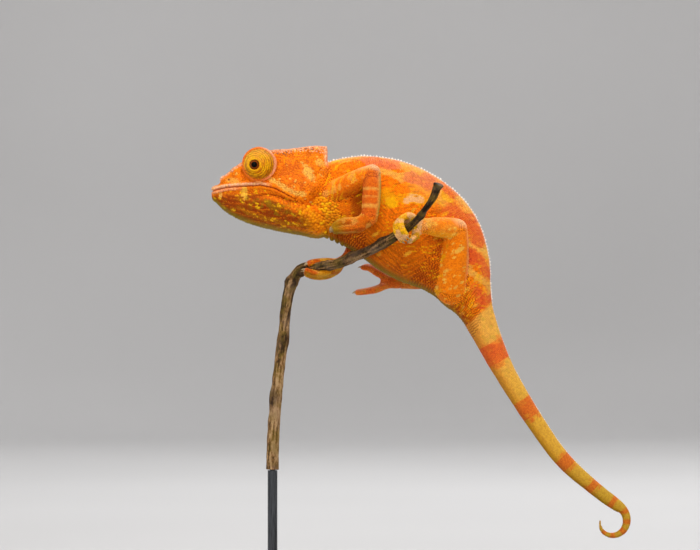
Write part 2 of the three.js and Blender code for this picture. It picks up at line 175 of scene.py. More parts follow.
def fall(low, high, value):
    """1 up to low, falling smoothly to 0 at high."""
    return 1 - smoothstep(low, high, value)


def bump(distance, reach):
    """1 at no distance, falling smoothly to 0 at the reach."""
    return fall(0, reach, np.abs(distance))


def most(*values):
    """The largest of several arrays at each point."""
    total = values[0]
    for value in values[1:]:
        total = np.maximum(total, value)
    return total


def unit(vectors, least=0.0):
    """Vectors made one long, row by row."""
    return vectors / np.maximum(np.linalg.norm(vectors, axis=1), least)[:, None]


def column(rows, place, index):
    """One column of a table, read at places in its first column."""
    return np.interp(place, [row[0] for row in rows], [row[index] for row in rows])


def walked(points):
    """The length walked along a line of points, at each of them."""
    return np.concatenate([[0], np.cumsum(np.linalg.norm(np.diff(points, axis=0), axis=1))])


def hashed(cell, seed):
    """A number from 0 to 1 for each whole cell, as good as random."""
    number = cell[..., 0] * 73856093 ^ cell[..., 1] * 19349663 ^ cell[..., 2] * 83492791
    number = number ^ seed * 2654435
    number = (number & 0x7FFFFFFF) * 48271 % 2147483647
    number = (number ^ (number >> 13)) * 69621 % 2147483647
    return number / 2147483647


def noise(points, size, seed=0):
    """Smooth noise from 0 to 1 with cells of that size."""
    grid = points / size + 11.7 * seed
    cell = np.floor(grid).astype(np.int64)
    part = grid - cell
    part = part * part * (3 - 2 * part)
    total = 0
    for corner in np.ndindex(2, 2, 2):
        weight = np.prod(np.where(np.array(corner) == 1, part, 1 - part), axis=1)
        total = total + weight * hashed(cell + np.array(corner), seed)
    return total


def spots(points, size, radius, share, seed=0):
    """Round spots scattered through cells of that size: a share of the cells hold one."""
    grid = points / size + 5.3 * seed
    cell = np.floor(grid).astype(np.int64)
    found = np.zeros(len(points))
    for step in np.ndindex(3, 3, 3):
        home = cell + np.array(step) - 1
        middle = home + 0.5 + 0.7 * (np.stack([hashed(home, seed + k) for k in (1, 2, 3)], 1) - 0.5)
        gap = np.linalg.norm(grid - middle, axis=1) * size
        wide = radius * (0.6 + 0.8 * hashed(home, seed + 4))
        held = hashed(home, seed + 5) < share
        found = np.maximum(found, held * fall(0.55 * wide, wide, gap))
    return found


def reading(rows, place):
    """A smooth reading of a table at fractional rows, by Catmull-Rom through each column."""
    last = len(rows) - 1
    at = np.clip(place, 0, last)
    i = np.minimum(at.astype(int), last - 1)
    f = (at - i)[:, None]
    a, b, d, e = (rows[np.clip(i + k, 0, last)] for k in (-1, 0, 1, 2))
    return b + 0.5 * f * (d - a + f * (2 * a - 5 * b + 4 * d - e + f * (3 * (b - d) + e - a)))


def upright(rows):
    """Sections from x, top, bottom, half width and taper."""
    x, top, bottom, wide, taper = np.array(rows, float).T
    none = np.zeros_like(x)
    return np.stack([x, none, (top + bottom) / 2, none, none, (top - bottom) / 2,
                     none, wide, none, taper], 1)


def along_path(points, side=(0, 1, 0)):
    """Round sections square to a path of x, y, z and radius, their width along the side direction."""
    points = np.array(points, float)
    ahead = np.vstack([points[1:], points[-1:]])
    behind = np.vstack([points[:1], points[:-1]])
    tangent = (ahead - behind)[:, :3]
    tangent /= np.linalg.norm(tangent, axis=1)[:, None]
    wide = np.array(side, float) - tangent * (tangent @ np.array(side, float))[:, None]
    wide *= (points[:, 3] / np.linalg.norm(wide, axis=1))[:, None]
    return np.hstack([points[:, :3], np.cross(tangent, wide), wide, np.zeros((len(points), 1))])


def trunk_sections():
    """Sections from the neck along the back and belly to the tip of the tail's curl."""
    back_x, back_z, belly_x, belly_z, wide, taper = np.array(TORSO, float).T
    none = np.zeros_like(wide)
    torso = np.stack([(back_x + belly_x) / 2, none, (back_z + belly_z) / 2, (back_x - belly_x) / 2, none,
                      (back_z - belly_z) / 2, none, wide, none, taper], 1)
    step = math.radians(CURL["turn"]) / CURL["steps"]
    heading = math.radians(CURL["heading"])
    x, z = torso[-1][0], torso[-1][2]
    points = []
    for i in range(1, CURL["steps"] + 1):
        share = i / CURL["steps"]
        reach = (CURL["pitch"] + (CURL["end_pitch"] - CURL["pitch"]) * share) * step
        x += reach * math.cos(heading)
        z += reach * math.sin(heading)
        heading -= step
        points.append([x, 0, z, CURL["radius"] + (CURL["tip"] - CURL["radius"]) * share])
    return np.vstack([torso, along_path(points)])


TRUNK = trunk_sections()
SKULL_SECTIONS = upright(SKULL)
JAW_SECTIONS = upright(JAW)


def on_surface(sections, place, angle, squareness=2.0, grow=0.0, reach=1.0, beyond=0.0):
    """Points of a swept body at fractional sections and angles round it."""
    row = reading(sections, place)
    middle, high, wide, taper = row[:, :3], row[:, 3:6], row[:, 6:9], row[:, 9]
    forward = unit(np.cross(wide, high))
    v = np.sign(np.sin(angle)) * np.abs(np.sin(angle)) ** (2 / squareness)
    u = np.sign(np.cos(angle)) * np.abs(np.cos(angle)) ** (2 / squareness) * (1 + taper * v)
    across = u * reach * (1 + grow / np.linalg.norm(wide, axis=1))
    up = v * reach * (1 + grow / np.linalg.norm(high, axis=1))
    return middle + wide * across[:, None] + high * up[:, None] + forward * np.reshape(beyond, (-1, 1))


def band_faces(rows, sides, start=0):
    """The faces between rings of points that follow one another."""
    ring = [(s, (s + 1) % sides) for s in range(sides)]
    return [(low + s, low + t, low + sides + t, low + sides + s)
            for low in range(start, start + (rows - 1) * sides, sides) for s, t in ring]


def loft(sections, rings, sides, squareness=2.0, dome_start=0.0, dome_end=0.0, grow=0.0):
    """A closed swept body as points and faces, with round ends of those heights."""
    angles = np.arange(sides) * (2 * math.pi / sides)
    last = len(sections) - 1
    plain = [(place, 1.0, 0.0) for place in np.linspace(0, last, rings)]
    turns = np.radians([30, 56, 76])
    start = [(0, math.cos(t), -dome_start * math.sin(t)) for t in turns[::-1]] if dome_start else []
    end = [(last, math.cos(t), dome_end * math.sin(t)) for t in turns] if dome_end else []
    stack = start + plain + end
    points = np.vstack([on_surface(sections, np.full(sides, float(place)), angles, squareness, grow, reach,
                                   np.full(sides, far)) for place, reach, far in stack])
    faces = [(a, d, c, b) for a, b, c, d in band_faces(len(stack), sides)]
    tip = (len(stack) - 1) * sides
    faces.append(tuple(range(sides)))
    faces.append(tuple(tip + s for s in reversed(range(sides))))
    return points, faces


def ball(centre, radii, sides=32, rings=20):
    """A closed ellipsoid whose poles lie along Y."""
    polar = np.linspace(0, math.pi, rings + 1)[1:-1]
    turn = np.arange(sides) * (2 * math.pi / sides)
    grid = np.array([[math.sin(p) * math.cos(t), math.cos(p), math.sin(p) * math.sin(t)]
                     for p in polar for t in turn])
    points = np.vstack([grid, [[0, 1, 0], [0, -1, 0]]]) * radii + centre
    faces = band_faces(len(polar), sides)
    north, south, foot = len(grid), len(grid) + 1, (len(polar) - 1) * sides
    for s in range(sides):
        t = (s + 1) % sides
        faces.append((north, t, s))
        faces.append((south, foot + s, foot + t))
    return points, faces


def toes_of(parts, bundle):
    """The middle line of a bundle of toes, the way it spreads, and each toe's shift that way."""
    path, spread, count = parts[bundle]
    across = np.array(spread, float) / np.linalg.norm(spread)
    shifts = [across * (toe * TOE["pitch"] - (count - 1) / 2 * TOE["pitch"]) for toe in range(count)]
    return np.array(path, float), across, shifts


def limb_bodies(parts, depth):
    """The lengths of one limb and its toes, as lists of sections."""
    joints = [np.array(j, float) - np.array([0, 0, 0, depth]) for j in parts["joints"]]
    bodies = []
    for i, swell in enumerate((1.12, 1.08, 1.0)):
        a, b = joints[i], joints[i + 1]
        middle = (a + b) / 2
        middle[3] *= swell
        bodies.append([a, middle, b])
    for bundle in ("outer", "inner"):
        path, _, shifts = toes_of(parts, bundle)
        radii = np.linspace(TOE["root"], TOE["tip"], len(path)) - depth
        for shift in shifts:
            bodies.append([np.append(p + shift, r) for p, r in zip(path, radii)])
    return bodies


def body_sections(body):
    """The sections of one length, spread to the side or, where it runs sideways, along X."""
    a, b = body[0], body[-1]
    sideways = abs(a[1] - b[1]) > math.hypot(a[0] - b[0], a[2] - b[2])
    return along_path(body, (1, 0, 0) if sideways else (0, 1, 0))


# ---- Where a point lies on the animal ----
PARTS = ["trunk", "skull", "jaw", "turret", *LIMBS]
ON_TRUNK, ON_SKULL, ON_JAW, ON_TURRET, FIRST_LIMB = range(5)


def is_head(part):
    """Which points are on the skull or the jaw."""
    return (part == ON_SKULL) | (part == ON_JAW)


def in_view(at, x, z):
    """Distance from a place in side view."""
    return np.hypot(at[:, 0] - x, at[:, 2] - z)


def eye_gap(at):
    """Distance from the turret's middle in side view."""
    return in_view(at, EYE["x"], EYE["z"])


def pupil_gap(at):
    """Distance from the pupil in side view."""
    return in_view(at, PUPIL["x"], PUPIL["z"])


def section_measure(points, row, squareness):
    """Distance from swept bodies' surfaces at known sections, and the angle round them."""
    middle, high, wide, taper = row[:, :3], row[:, 3:6], row[:, 6:9], row[:, 9]
    q = points - middle
    v = (q * high).sum(1) / (high * high).sum(1)
    u = (q * wide).sum(1) / (wide * wide).sum(1) / (1 + taper * np.clip(v, -1, 1))
    rho = (np.abs(u) ** squareness + np.abs(v) ** squareness) ** (1 / squareness)
    flat = np.hypot(u * np.linalg.norm(wide, axis=1), v * np.linalg.norm(high, axis=1))
    return flat * (1 - 1 / np.maximum(rho, 0.05)), np.arctan2(v, u), v


def trunk_station(points):
    """The fractional section of the trunk that each point lies on, in side view."""
    stations = np.linspace(0, len(TRUNK) - 1, 300)
    rows = reading(TRUNK, stations)
    low = (rows[:, :3] - rows[:, 3:6])[:, [0, 2]]
    span = 2 * rows[:, 3:6][:, [0, 2]]
    span_square = (span * span).sum(1)
    best = np.zeros(len(points))
    flat = points[:, [0, 2]]
    for start in range(0, len(points), 8192):
        part = flat[start:start + 8192]
        gap = part[:, None] - low[None]
        t = np.clip((gap * span).sum(2) / span_square, -0.05, 1.05)
        distance = ((gap - t[..., None] * span) ** 2).sum(2)
        best[start:start + 8192] = stations[distance.argmin(1)]
    return best


def column_place(rows, x):
    """The fractional row of a table whose first column rises to x."""
    return np.interp(x, [row[0] for row in rows], np.arange(len(rows)))


def capsule(points, a, b):
    """Distance from a tapered length, the share along it, and the way out from its middle line."""
    axis = b[:3] - a[:3]
    t = np.clip(((points - a[:3]) @ axis) / (axis @ axis), 0, 1)
    off = points - a[:3] - t[:, None] * axis
    return np.linalg.norm(off, axis=1) - (a[3] + (b[3] - a[3]) * t), t, off


def locate(points):
    """What part each point is on, and its place along, round and up that part."""
    n = len(points)
    distance = np.full((n, len(PARTS)), 99.0)
    spot = {"at": points, "station": trunk_station(points)}
    row = reading(TRUNK, spot["station"])
    distance[:, 0], spot["angle"], spot["height"] = section_measure(points, row, 2)
    forward = np.cross(row[:, 6:9], row[:, 3:6])
    past = ((points - row[:, :3]) * forward).sum(1) / np.linalg.norm(forward, axis=1)
    distance[:, 0] = np.maximum(distance[:, 0], np.abs(past) - 0.8)
    for k, rows, sections in ((ON_SKULL, SKULL, SKULL_SECTIONS), (ON_JAW, JAW, JAW_SECTIONS)):
        row = reading(sections, column_place(rows, points[:, 0]))
        gap, angle, _ = section_measure(points, row, SQUARENESS[PARTS[k]])
        past = np.maximum(points[:, 0] - rows[-1][0], 0) + np.maximum(rows[0][0] - 1.8 - points[:, 0], 0)
        distance[:, k] = np.maximum(gap, past)
        spot[PARTS[k] + "_angle"] = angle
    eye = np.array([EYE["x"], EYE["y"], EYE["z"]])
    q = np.stack([points[:, 0], np.abs(points[:, 1]), points[:, 2]], 1) - eye
    rho = np.linalg.norm(q / [EYE["radius"], EYE["depth"], EYE["radius"]], axis=1)
    distance[:, 3] = np.linalg.norm(q, axis=1) * (1 - 1 / np.maximum(rho, 0.05))
    spot["stage"] = np.zeros(n)
    spot["out"] = np.zeros((n, 3))
    for k, parts in enumerate(LIMBS.values(), start=FIRST_LIMB):
        for index, body in enumerate(limb_bodies(parts, 0)):
            for j in range(len(body) - 1):
                gap, t, off = capsule(points, body[j], body[j + 1])
                closer = gap < distance[:, k]
                distance[closer, k] = gap[closer]
                is_best = closer & (gap <= distance.min(1) + 1e-9)
                stage = min(index, 3) + (j + t) / (len(body) - 1)
                spot["stage"][is_best] = stage[is_best]
                spot["out"][is_best] = off[is_best]
    spot["part"] = distance.argmin(1)
    spot["out"] = unit(spot["out"], NEAR_NOTHING)
    return spot


def picked(values, mask):
    """The same arrays, at chosen points alone."""
    return {key: value[mask] for key, value in values.items()}


def gap_to(points, line):
    """Distance in side view from a line of x and z."""
    return line_distance(points, line)[0]


def line_distance(points, line):
    """Distance in side view from a line of x and z, how far along it, and how far above it."""
    flat = points[:, [0, 2]]
    best = np.full(len(points), 99.0)
    along = np.zeros(len(points))
    side = np.zeros(len(points))
    passed = 0.0
    for a, b in zip(np.array(line[:-1], float), np.array(line[1:], float)):
        step = b - a
        length = np.linalg.norm(step)
        t = np.clip(((flat - a) @ step) / length ** 2, 0, 1)
        off = flat - a - t[:, None] * step
        gap = np.linalg.norm(off, axis=1)
        closer = gap < best
        best[closer] = gap[closer]
        along[closer] = (passed + t * length)[closer]
        side[closer] = off[closer, 1]
        passed += length
    return best, along, side


# ---- Markings, with painted shade and highlights: how much of each colour a point of the animal carries ----
MARKS = ["red", "yellow", "tan", "pink", "dark", "olive", "deep", "chance"]
PINK, DARK, DEEP, CHANCE = (MARKS.index(name) for name in ("pink", "dark", "deep", "chance"))
# Bands round the tail: station and half length.
TAIL_BANDS = [(12.62, 0.25), (13.78, 0.19), (15.05, 0.15), (15.85, 0.14), (16.7, 0.14), (17.9, 0.28),
              (19.1, 0.3), (20.4, 0.32), (21.8, 0.35), (23.2, 0.35)]
# Rows in side view: the pale streak behind the mouth's corner, and the beads low on the jaw.
CHEEK_STREAK = [[-72, 189.5], [-66, 185.5], [-60, 182.4], [-56.5, 182.6]]
JAW_BEADS = [[-86, 176.5], [-78, 172.6], [-66, 169.6], [-56, 168.2]]
# Patches on the side and on the head: strength, x, z, half width, half height, tilt and raggedness.
YELLOW_PATCHES = [(0.5, -10, 180, 14, 2.4, -6, 1.2), (0.95, -17.5, 178.8, 4.6, 2.3, 6, 1.0),
                  (0.6, -20, 182.5, 3, 3.2, 30, 1.2), (0.6, 7, 181, 4, 1.6, -40, 0.8)]
HEAD_TAN_PATCHES = [(0.9, -54.3, 191.6, 2.0, 4.2, 32, 0.6), (0.7, -49.5, 196.5, 2.2, 1.6, -30, 0.8),
                    (0.5, -88, 188.4, 4.5, 1.3, -12, 0.8)]
# Blotches on the sides, as a line from x, z to x, z with a half width and a strength.
RED_BLOTCHES = [
    (-29, 197.6, -16, 195.4, 2.4, 0.75), (-9, 189.6, -2, 188.6, 2.6, 0.8), (-1, 188, 9, 183, 3.4, 0.85),
    (10, 175, 16, 171, 4.2, 1), (16, 170, 22.5, 162.5, 3.8, 1), (18.5, 155.4, 25.6, 147.4, 3.1, 1),
    (15.5, 139.6, 27, 132.6, 4.5, 1), (12, 138, 16, 132, 2.4, 0.7),
]
TAN_BLOTCHES = [
    (-24, 192.4, -12, 190, 2.2, 0.9), (-13, 194.6, -4, 192, 2, 0.8), (-44, 196.4, -36, 197.4, 1.2, 0.6),
    (4, 180.4, 18, 171.4, 2.1, 0.85), (11, 182.4, 22, 171, 1.5, 0.9), (17, 162, 27, 154.6, 2.4, 1),
    (17, 148.6, 26.4, 141.4, 2, 0.9), (24.6, 163, 28, 150, 1.4, 0.7),
]


def patch(at, x, z, wide, tall, tilt=0.0, ragged=0.0):
    """An oval patch in side view, on both sides alike, with a soft or ragged edge."""
    c, s = math.cos(math.radians(tilt)), math.sin(math.radians(tilt))
    dx, dz = at[:, 0] - x, at[:, 2] - z
    reach = np.hypot((dx * c + dz * s) / wide, (dz * c - dx * s) / tall)
    if ragged:
        reach = reach + ragged * (noise(at, 1.3, 31) - 0.5)
    return fall(0.7, 1.2, reach)


def patches(at, rows):
    """Several patches at once, each row starting with its strength."""
    return most(*(strength * patch(at, *row) for strength, *row in rows))


def blotches(at, table):
    """Ragged blotches in side view, drawn out along the rows of scales."""
    rows = np.stack([at[:, 0] / 2.6, at[:, 1] / 3, at[:, 2]], 1)
    ragged = 2.6 * (noise(rows, 1.1, 21) - 0.5) + 2.2 * (noise(at, 3.4, 22) - 0.5)
    found = np.zeros(len(at))
    for x0, z0, x1, z1, half, strength in table:
        gap = gap_to(at, [[x0, z0], [x1, z1]])
        found = np.maximum(found, strength * fall(0.78, 1.12, (gap + ragged) / half))
    return found


def tail_bands(spot):
    """The red bands round the tail, with wavy edges."""
    wave = 0.35 * (noise(spot["at"], 2.2, 23) - 0.5)
    found = np.zeros(len(wave))
    for station, half in TAIL_BANDS:
        shift = wave * min(1.0, 2.4 * half)
        gap = np.abs(spot["station"] + shift - station)
        found = np.maximum(found, fall(0.6 * half, 1.3 * half, gap))
    return 0.9 * found


def dashes(at, size, radius, share, seed, slope=0.0):
    """Short marks twice as long as they are tall, lying along X with a slope."""
    drawn_out = np.stack([at[:, 0] * 0.5, at[:, 1] * 0.7, at[:, 2] + slope * at[:, 0]], 1)
    return spots(drawn_out, size, radius, share, seed)


def streaks(at, direction, pitch, seed):
    """Wavy thin lines in side view, running along a direction in degrees."""
    c, s = math.cos(math.radians(direction)), math.sin(math.radians(direction))
    across = -at[:, 0] * s + at[:, 2] * c
    along = at[:, 0] * c + at[:, 2] * s
    warp = np.stack([along / 3.0, across, at[:, 1] / 2], 1)
    return 0.5 + 0.5 * np.sin(2 * math.pi * across / pitch + 7 * (noise(warp, 1.8, seed) - 0.5))


def flank_rows(at):
    """Fine ridges of scales: falling behind the arm, rising toward the leg. From 0 in a groove to 1."""
    rising = smoothstep(-18, -7, at[:, 0])
    return streaks(at, -38, 1.6, 41) * (1 - rising) + streaks(at, 32, 1.6, 42) * rising


def flank_zone(spot):
    """Where the flank's ridges show: the lower half of the side, not the tail."""
    low = smoothstep(-0.98, -0.8, spot["height"]) * fall(0.25, 0.6, spot["height"])
    return low * fall(10.6, 11.3, spot["station"]) * smoothstep(-40, -34, spot["at"][:, 0])


def trunk_marks(spot, mark):
    """Markings of the body and the tail, with painted shade below, in the flank's grooves and behind the
    arm.
    """
    at, station, height = spot["at"], spot["station"], spot["height"]
    tail = smoothstep(11.2, 11.5, station)
    body = 1 - tail
    bands = tail_bands(spot)
    line = streaks(at, 8, 1.9, 41)
    red = blotches(at, RED_BLOTCHES) * body * smoothstep(-0.3, 0.2, height)
    red = np.maximum(red * (0.75 + 0.25 * line), bands)
    golden = smoothstep(0.35, 0.75, height) * smoothstep(-14, -4, at[:, 0]) * body
    tan = most(blotches(at, TAN_BLOTCHES) * body * (0.65 + 0.35 * line),
               0.62 * golden * (0.6 + 0.4 * smoothstep(0.3, 0.6, noise(at, 2.4, 24))),
               0.45 * smoothstep(0.86, 0.97, height) * body)
    beneath = fall(-0.85, 0.0, height)
    pale_flank = patch(at, *PALE_FLANK)
    flank = smoothstep(-0.95, -0.6, height) * fall(0.5, 0.8, height) * body
    flecks = flank * dashes(at, 3.2, 0.95, 0.4, 51, -0.5)
    hip_net = patch(at, *HIP, 0, 0.6) * (1 - red)
    mark["red"] = red
    # On the tail the tan thins toward the underside: painted shade.
    mark["tan"] = most(tan * (1 - 0.9 * red), 0.95 * tail * (1 - red) * (1 - 0.6 * beneath),
                       0.9 * pale_flank, 0.7 * flecks * (1 - 0.9 * red),
                       0.6 * hip_net * spots(at, 2.4, 0.62, 0.5, 55))
    back = smoothstep(0.1, 0.4, height) * body
    neck = fall(-32, -25, at[:, 0]) * smoothstep(165, 172, at[:, 2])
    neck_lines = smoothstep(0.55, 0.85, streaks(at, 24, 2.7, 44)) * neck
    mark["yellow"] = (1 - 0.85 * bands) * most(
        patches(at, YELLOW_PATCHES),
        0.6 * flecks * (1 - 0.6 * patch(at, *HIP)),
        0.6 * flank * smoothstep(0.72, 0.95, line) * smoothstep(0.5, 0.6, noise(at, 3.2, 54)),
        0.5 * back * spots(at, 3.2, 0.6, 0.4, 52),
        0.75 * neck_lines * smoothstep(0.4, 0.6, noise(at, 3.4, 45)),
        patch(at, -50, 172, 9, 12) * (0.2 + 0.75 * spots(at, 1.9, 0.7, 0.55, 53)),
        0.5 * hip_net * smoothstep(0.55, 0.8, streaks(at, 60, 2.2, 46)),
        0.25 * tail * smoothstep(12.6, 14, station))
    mark["pink"] = most(0.6 * pale_flank, 0.35 * smoothstep(0.93, 1.0, height),
                        0.2 * red * body * (station < 6.4))
    belly = fall(-1.0, -0.86, height)
    under = fall(-0.8, -0.1, height)
    specks = 0.25 * smoothstep(0.55, 0.85, noise(at, 1.6, 47))
    # More olive toward the tail's tip; the share along the underside is painted shade.
    olive_and_shade = 0.22 * smoothstep(12.4, 14, station) + 0.25 * smoothstep(14.2, 16.4, station) + 0.12 * under
    mark["olive"] = np.maximum(0.85 * belly * body, tail * (1 - 0.5 * bands) * np.maximum(specks, olive_and_shade))
    zone, rows, grooves = flank_zone(spot), flank_rows(at), fall(0.0, 0.3, line)
    # Painted shade: the lower flank and the belly darken toward the underside, and a soft patch darkens the
    # groin by the thigh.
    low = fall(-0.95, 0.15, height)
    shade = np.maximum(0.55 * patch(at, 4, 160, 6, 9, -25, 0.8),
                       0.95 * low * body * (0.7 + 0.3 * noise(at, 2.6, 48)))
    mark["deep"] = np.clip(most(
        # Painted shade in the flank's grooves: eased on the crests of the ridges that folds raises, laid in
        # their grooves, and drawn as thin dark lines between rows of scales.
        shade * (1 - 0.5 * zone * smoothstep(0.3, 0.8, rows)),
        0.4 * grooves * body * (1 - hip_net) * smoothstep(0.4, 0.6, noise(at, 2.8, 49)),
        0.4 * zone * fall(0.05, 0.4, rows),
        # Painted shade on the tail's underside; the tail also darkens toward its tip.
        tail * np.maximum(0.55 * under, 0.2 * smoothstep(12.4, 14.5, station)),
        # Painted shadow cast on the flank behind the near arm.
        0.75 * patch(at, -31, 176, 5, 9)), 0, 1)


def head_marks(spot, mark):
    """Markings of the head and the jaw, with painted shade on the jaw, along the mouth and in the nostril.
    """
    at = spot["at"]
    x, y, z = at.T
    mouth, along, side = line_distance(at, MOUTH)
    mouth_z = mouthline(x)
    below_crest = column(SKULL, x, 1) - z
    upper_lip = bump(mouth - 0.8, 1.1) * (side > 0) * fall(22, 28, along)
    lower_lip = bump(mouth - 0.8, 0.9) * (side < 0) * fall(8, 16, along)
    lip_beat = 0.5 + 0.5 * np.sin(2 * math.pi * along / 3.1)
    snout = fall(-97, -93.5, x) * smoothstep(-0.4, 0.6, z - mouth_z)
    mark["pink"] = most(
        upper_lip * (0.85 - 0.3 * lip_beat), 0.4 * lower_lip, 0.5 * snout,
        0.6 * fall(0.2, 1.3, below_crest),
        0.6 * fall(0.3, 1.4, -46.6 - x) * smoothstep(194, 198, z),
        0.5 * fall(0.3, 1.6, below_crest) * (x < -84))
    crest_band = fall(1.2, 3.4, below_crest) * (x > -72) * (1 - 0.6 * smoothstep(-52, -47, x))
    behind_eye = patch(at, -65.5, 198.5, 5, 3.5, -30)
    nose = fall(0.6, 2.4, below_crest) * (x < -84)
    speckled = np.clip(0.75 * crest_band + 0.3 * behind_eye + 0.5 * nose, 0, 0.75)
    mark["dark"] = most(
        spots(at, 1.3, 0.62, 0.7, 61) * speckled,
        # Painted shade: the nostril's hollow and the mouth's line are darkened; the speckles above are the
        # casque's own colour.
        fall(0.3, 0.7, in_view(at, *NOSTRIL)),
        0.5 * np.exp(-(mouth / 0.26) ** 2) * smoothstep(1.0, 3.5, np.abs(y)))
    tooth = patch(at, -83.6, 183.4, 1.5, 3.0, 5, 0.7) * (side < 0)
    streak = gap_to(at, CHEEK_STREAK) + 0.9 * (noise(at, 1.2, 62) - 0.5)
    dots = np.maximum(spots(at, 2.6, 0.66, 0.5, 63), dashes(at, 1.8, 0.5, 0.45, 68, 0.3))
    mark["tan"] = most(
        0.95 * tooth, upper_lip * (0.3 + 0.5 * lip_beat),
        0.8 * patch(at, -94.2, 182.2, 0.8, 1.8, 0, 0.4) * (side < 0),
        0.8 * fall(0.6, 1.5, streak),
        0.85 * dots * (z > mouth_z + 1.5), patches(at, HEAD_TAN_PATCHES))
    jaw = z < mouth_z - 0.4
    mouth_depth = mouth_z - z
    lip_depth = np.interp(x, [-98, -84, -70, -58], [1.4, 2.2, 4.2, 4.6])
    under = smoothstep(0, 3.0, mouth_depth - lip_depth + 1.2 * (noise(at, 3.4, 60) - 0.5))
    under = under * fall(-58, -50, x)
    grain = 1 - 0.6 * smoothstep(0.55, 0.95, streaks(at, -14, 2.3, 65))
    # Painted shade: the jaw is darkened all over, more on its lower part below the lip, and in the crease
    # under the lower lip; the grain leaves paler streaks.
    shade = jaw * np.clip(0.22 + under * grain + 0.7 * bump(gap_to(at, LIP_CREASE), 0.7), 0, 1)
    mark["deep"] = np.maximum(shade * (1 - 0.8 * tooth),
                              0.3 * smoothstep(0.5, 0.64, noise(at, 2.4, 70)) * (z > mouth_z + 2))
    band = patch(at, -71, 176.6, 16, 3.0, -14, 1.1)
    # The band along the jaw is olive of its own; the share under the lip is painted shade.
    olive_and_shade = 0.4 * band * smoothstep(0.45, 0.75, noise(at, 1.6, 66))
    olive_and_shade = olive_and_shade + 0.15 * under * smoothstep(0.5, 0.8, noise(at, 1.8, 67))
    mark["olive"] = jaw * np.maximum(0.8 * fall(0.6, 3.2, z - column(JAW, x, 2)), olive_and_shade)
    beads = np.maximum(bump(gap_to(at, JAW_BEADS), 1.5), 0.95 * patch(at, -51, 174, 8, 9))
    jaw_dashes = np.maximum(dashes(at, 1.6, 0.55, 0.45, 69, 0.22), dashes(at, 2.4, 0.6, 0.4, 59, 0.22))
    mark["yellow"] = most(
        jaw * beads * (0.2 + 0.75 * spots(at, 1.9, 0.66, 0.6, 64)),
        0.85 * jaw * jaw_dashes * smoothstep(0.8, 2, mouth_depth), 0.45 * tooth)
    mark["red"] = 0.2 * patch(at, -60, 190, 9, 8, 0, 0.6)


def mouthline(x):
    """The height of the mouth's line, carried down to the chest behind its corner."""
    return column([*MOUTH, [-36, 168]], x, 1)


def turret_marks(spot, mark):
    """Markings of the eye's lid, ringed by wrinkles round its opening, with a painted highlight above and
    painted shade below and in its grooves.
    """
    at = spot["at"]
    x, _, z = at.T
    rim, reach, rings = eye_gap(at), pupil_gap(at), turret_rings(at)
    turn = np.arctan2(z - EYE["z"], x - EYE["x"])
    inside = fall(6.5, 7.0, rim)
    mark["yellow"] = np.maximum(
        inside * (0.25 + 0.5 * smoothstep(0.35, 0.65, noise(at, 1.6, 71)) * (1 - rings)),
        0.9 * bump(reach - 2.8, 0.5))
    # Painted highlight: tan over the lid's upper front.
    mark["tan"] = 0.5 * inside * smoothstep(192, 202, z + 0.5 * (EYE["x"] - x))
    lit = 0.05 + 0.95 * np.maximum(np.cos(turn - 0.1), 0)
    mark["pink"] = np.clip(0.6 * bump(rim - 7.4, 0.9) * lit, 0, 1)
    mark["red"] = 0.3 * smoothstep(6.6, 7.2, rim)
    # Painted shade: the lid darkens toward its lower and rear part, in the grooves of its ring wrinkles
    # (where the yellow also thins), in the groove round its rim and at the opening round the eye.
    shade = 0.1 + 0.55 * fall(189, 199, z) + 0.3 * smoothstep(-78, -71, x)
    ringed = reach > 3.2
    mark["deep"] = most(inside * np.clip(0.7 * shade + smoothstep(0.35, 0.85, rings) * ringed, 0, 1),
                        0.7 * bump(rim - 6.75, 0.45), 0.8 * fall(0.0, 0.5, reach - 2.2))
    # Painted shade: dark in the opening round the eye and in the deepest grooves of the rings.
    mark["dark"] = np.maximum(0.85 * fall(1.7, 2.2, reach),
                              0.22 * inside * smoothstep(0.7, 1.0, rings) * ringed)


def turret_rings(at):
    """The wrinkles that ring the eye's opening, from 0 on a crest to 1 in a groove."""
    turns = (pupil_gap(at) - 2.6) / 0.92
    return 0.5 - 0.5 * np.cos(2 * math.pi * turns + 2.6 * (noise(at, 3.2, 72) - 0.5))


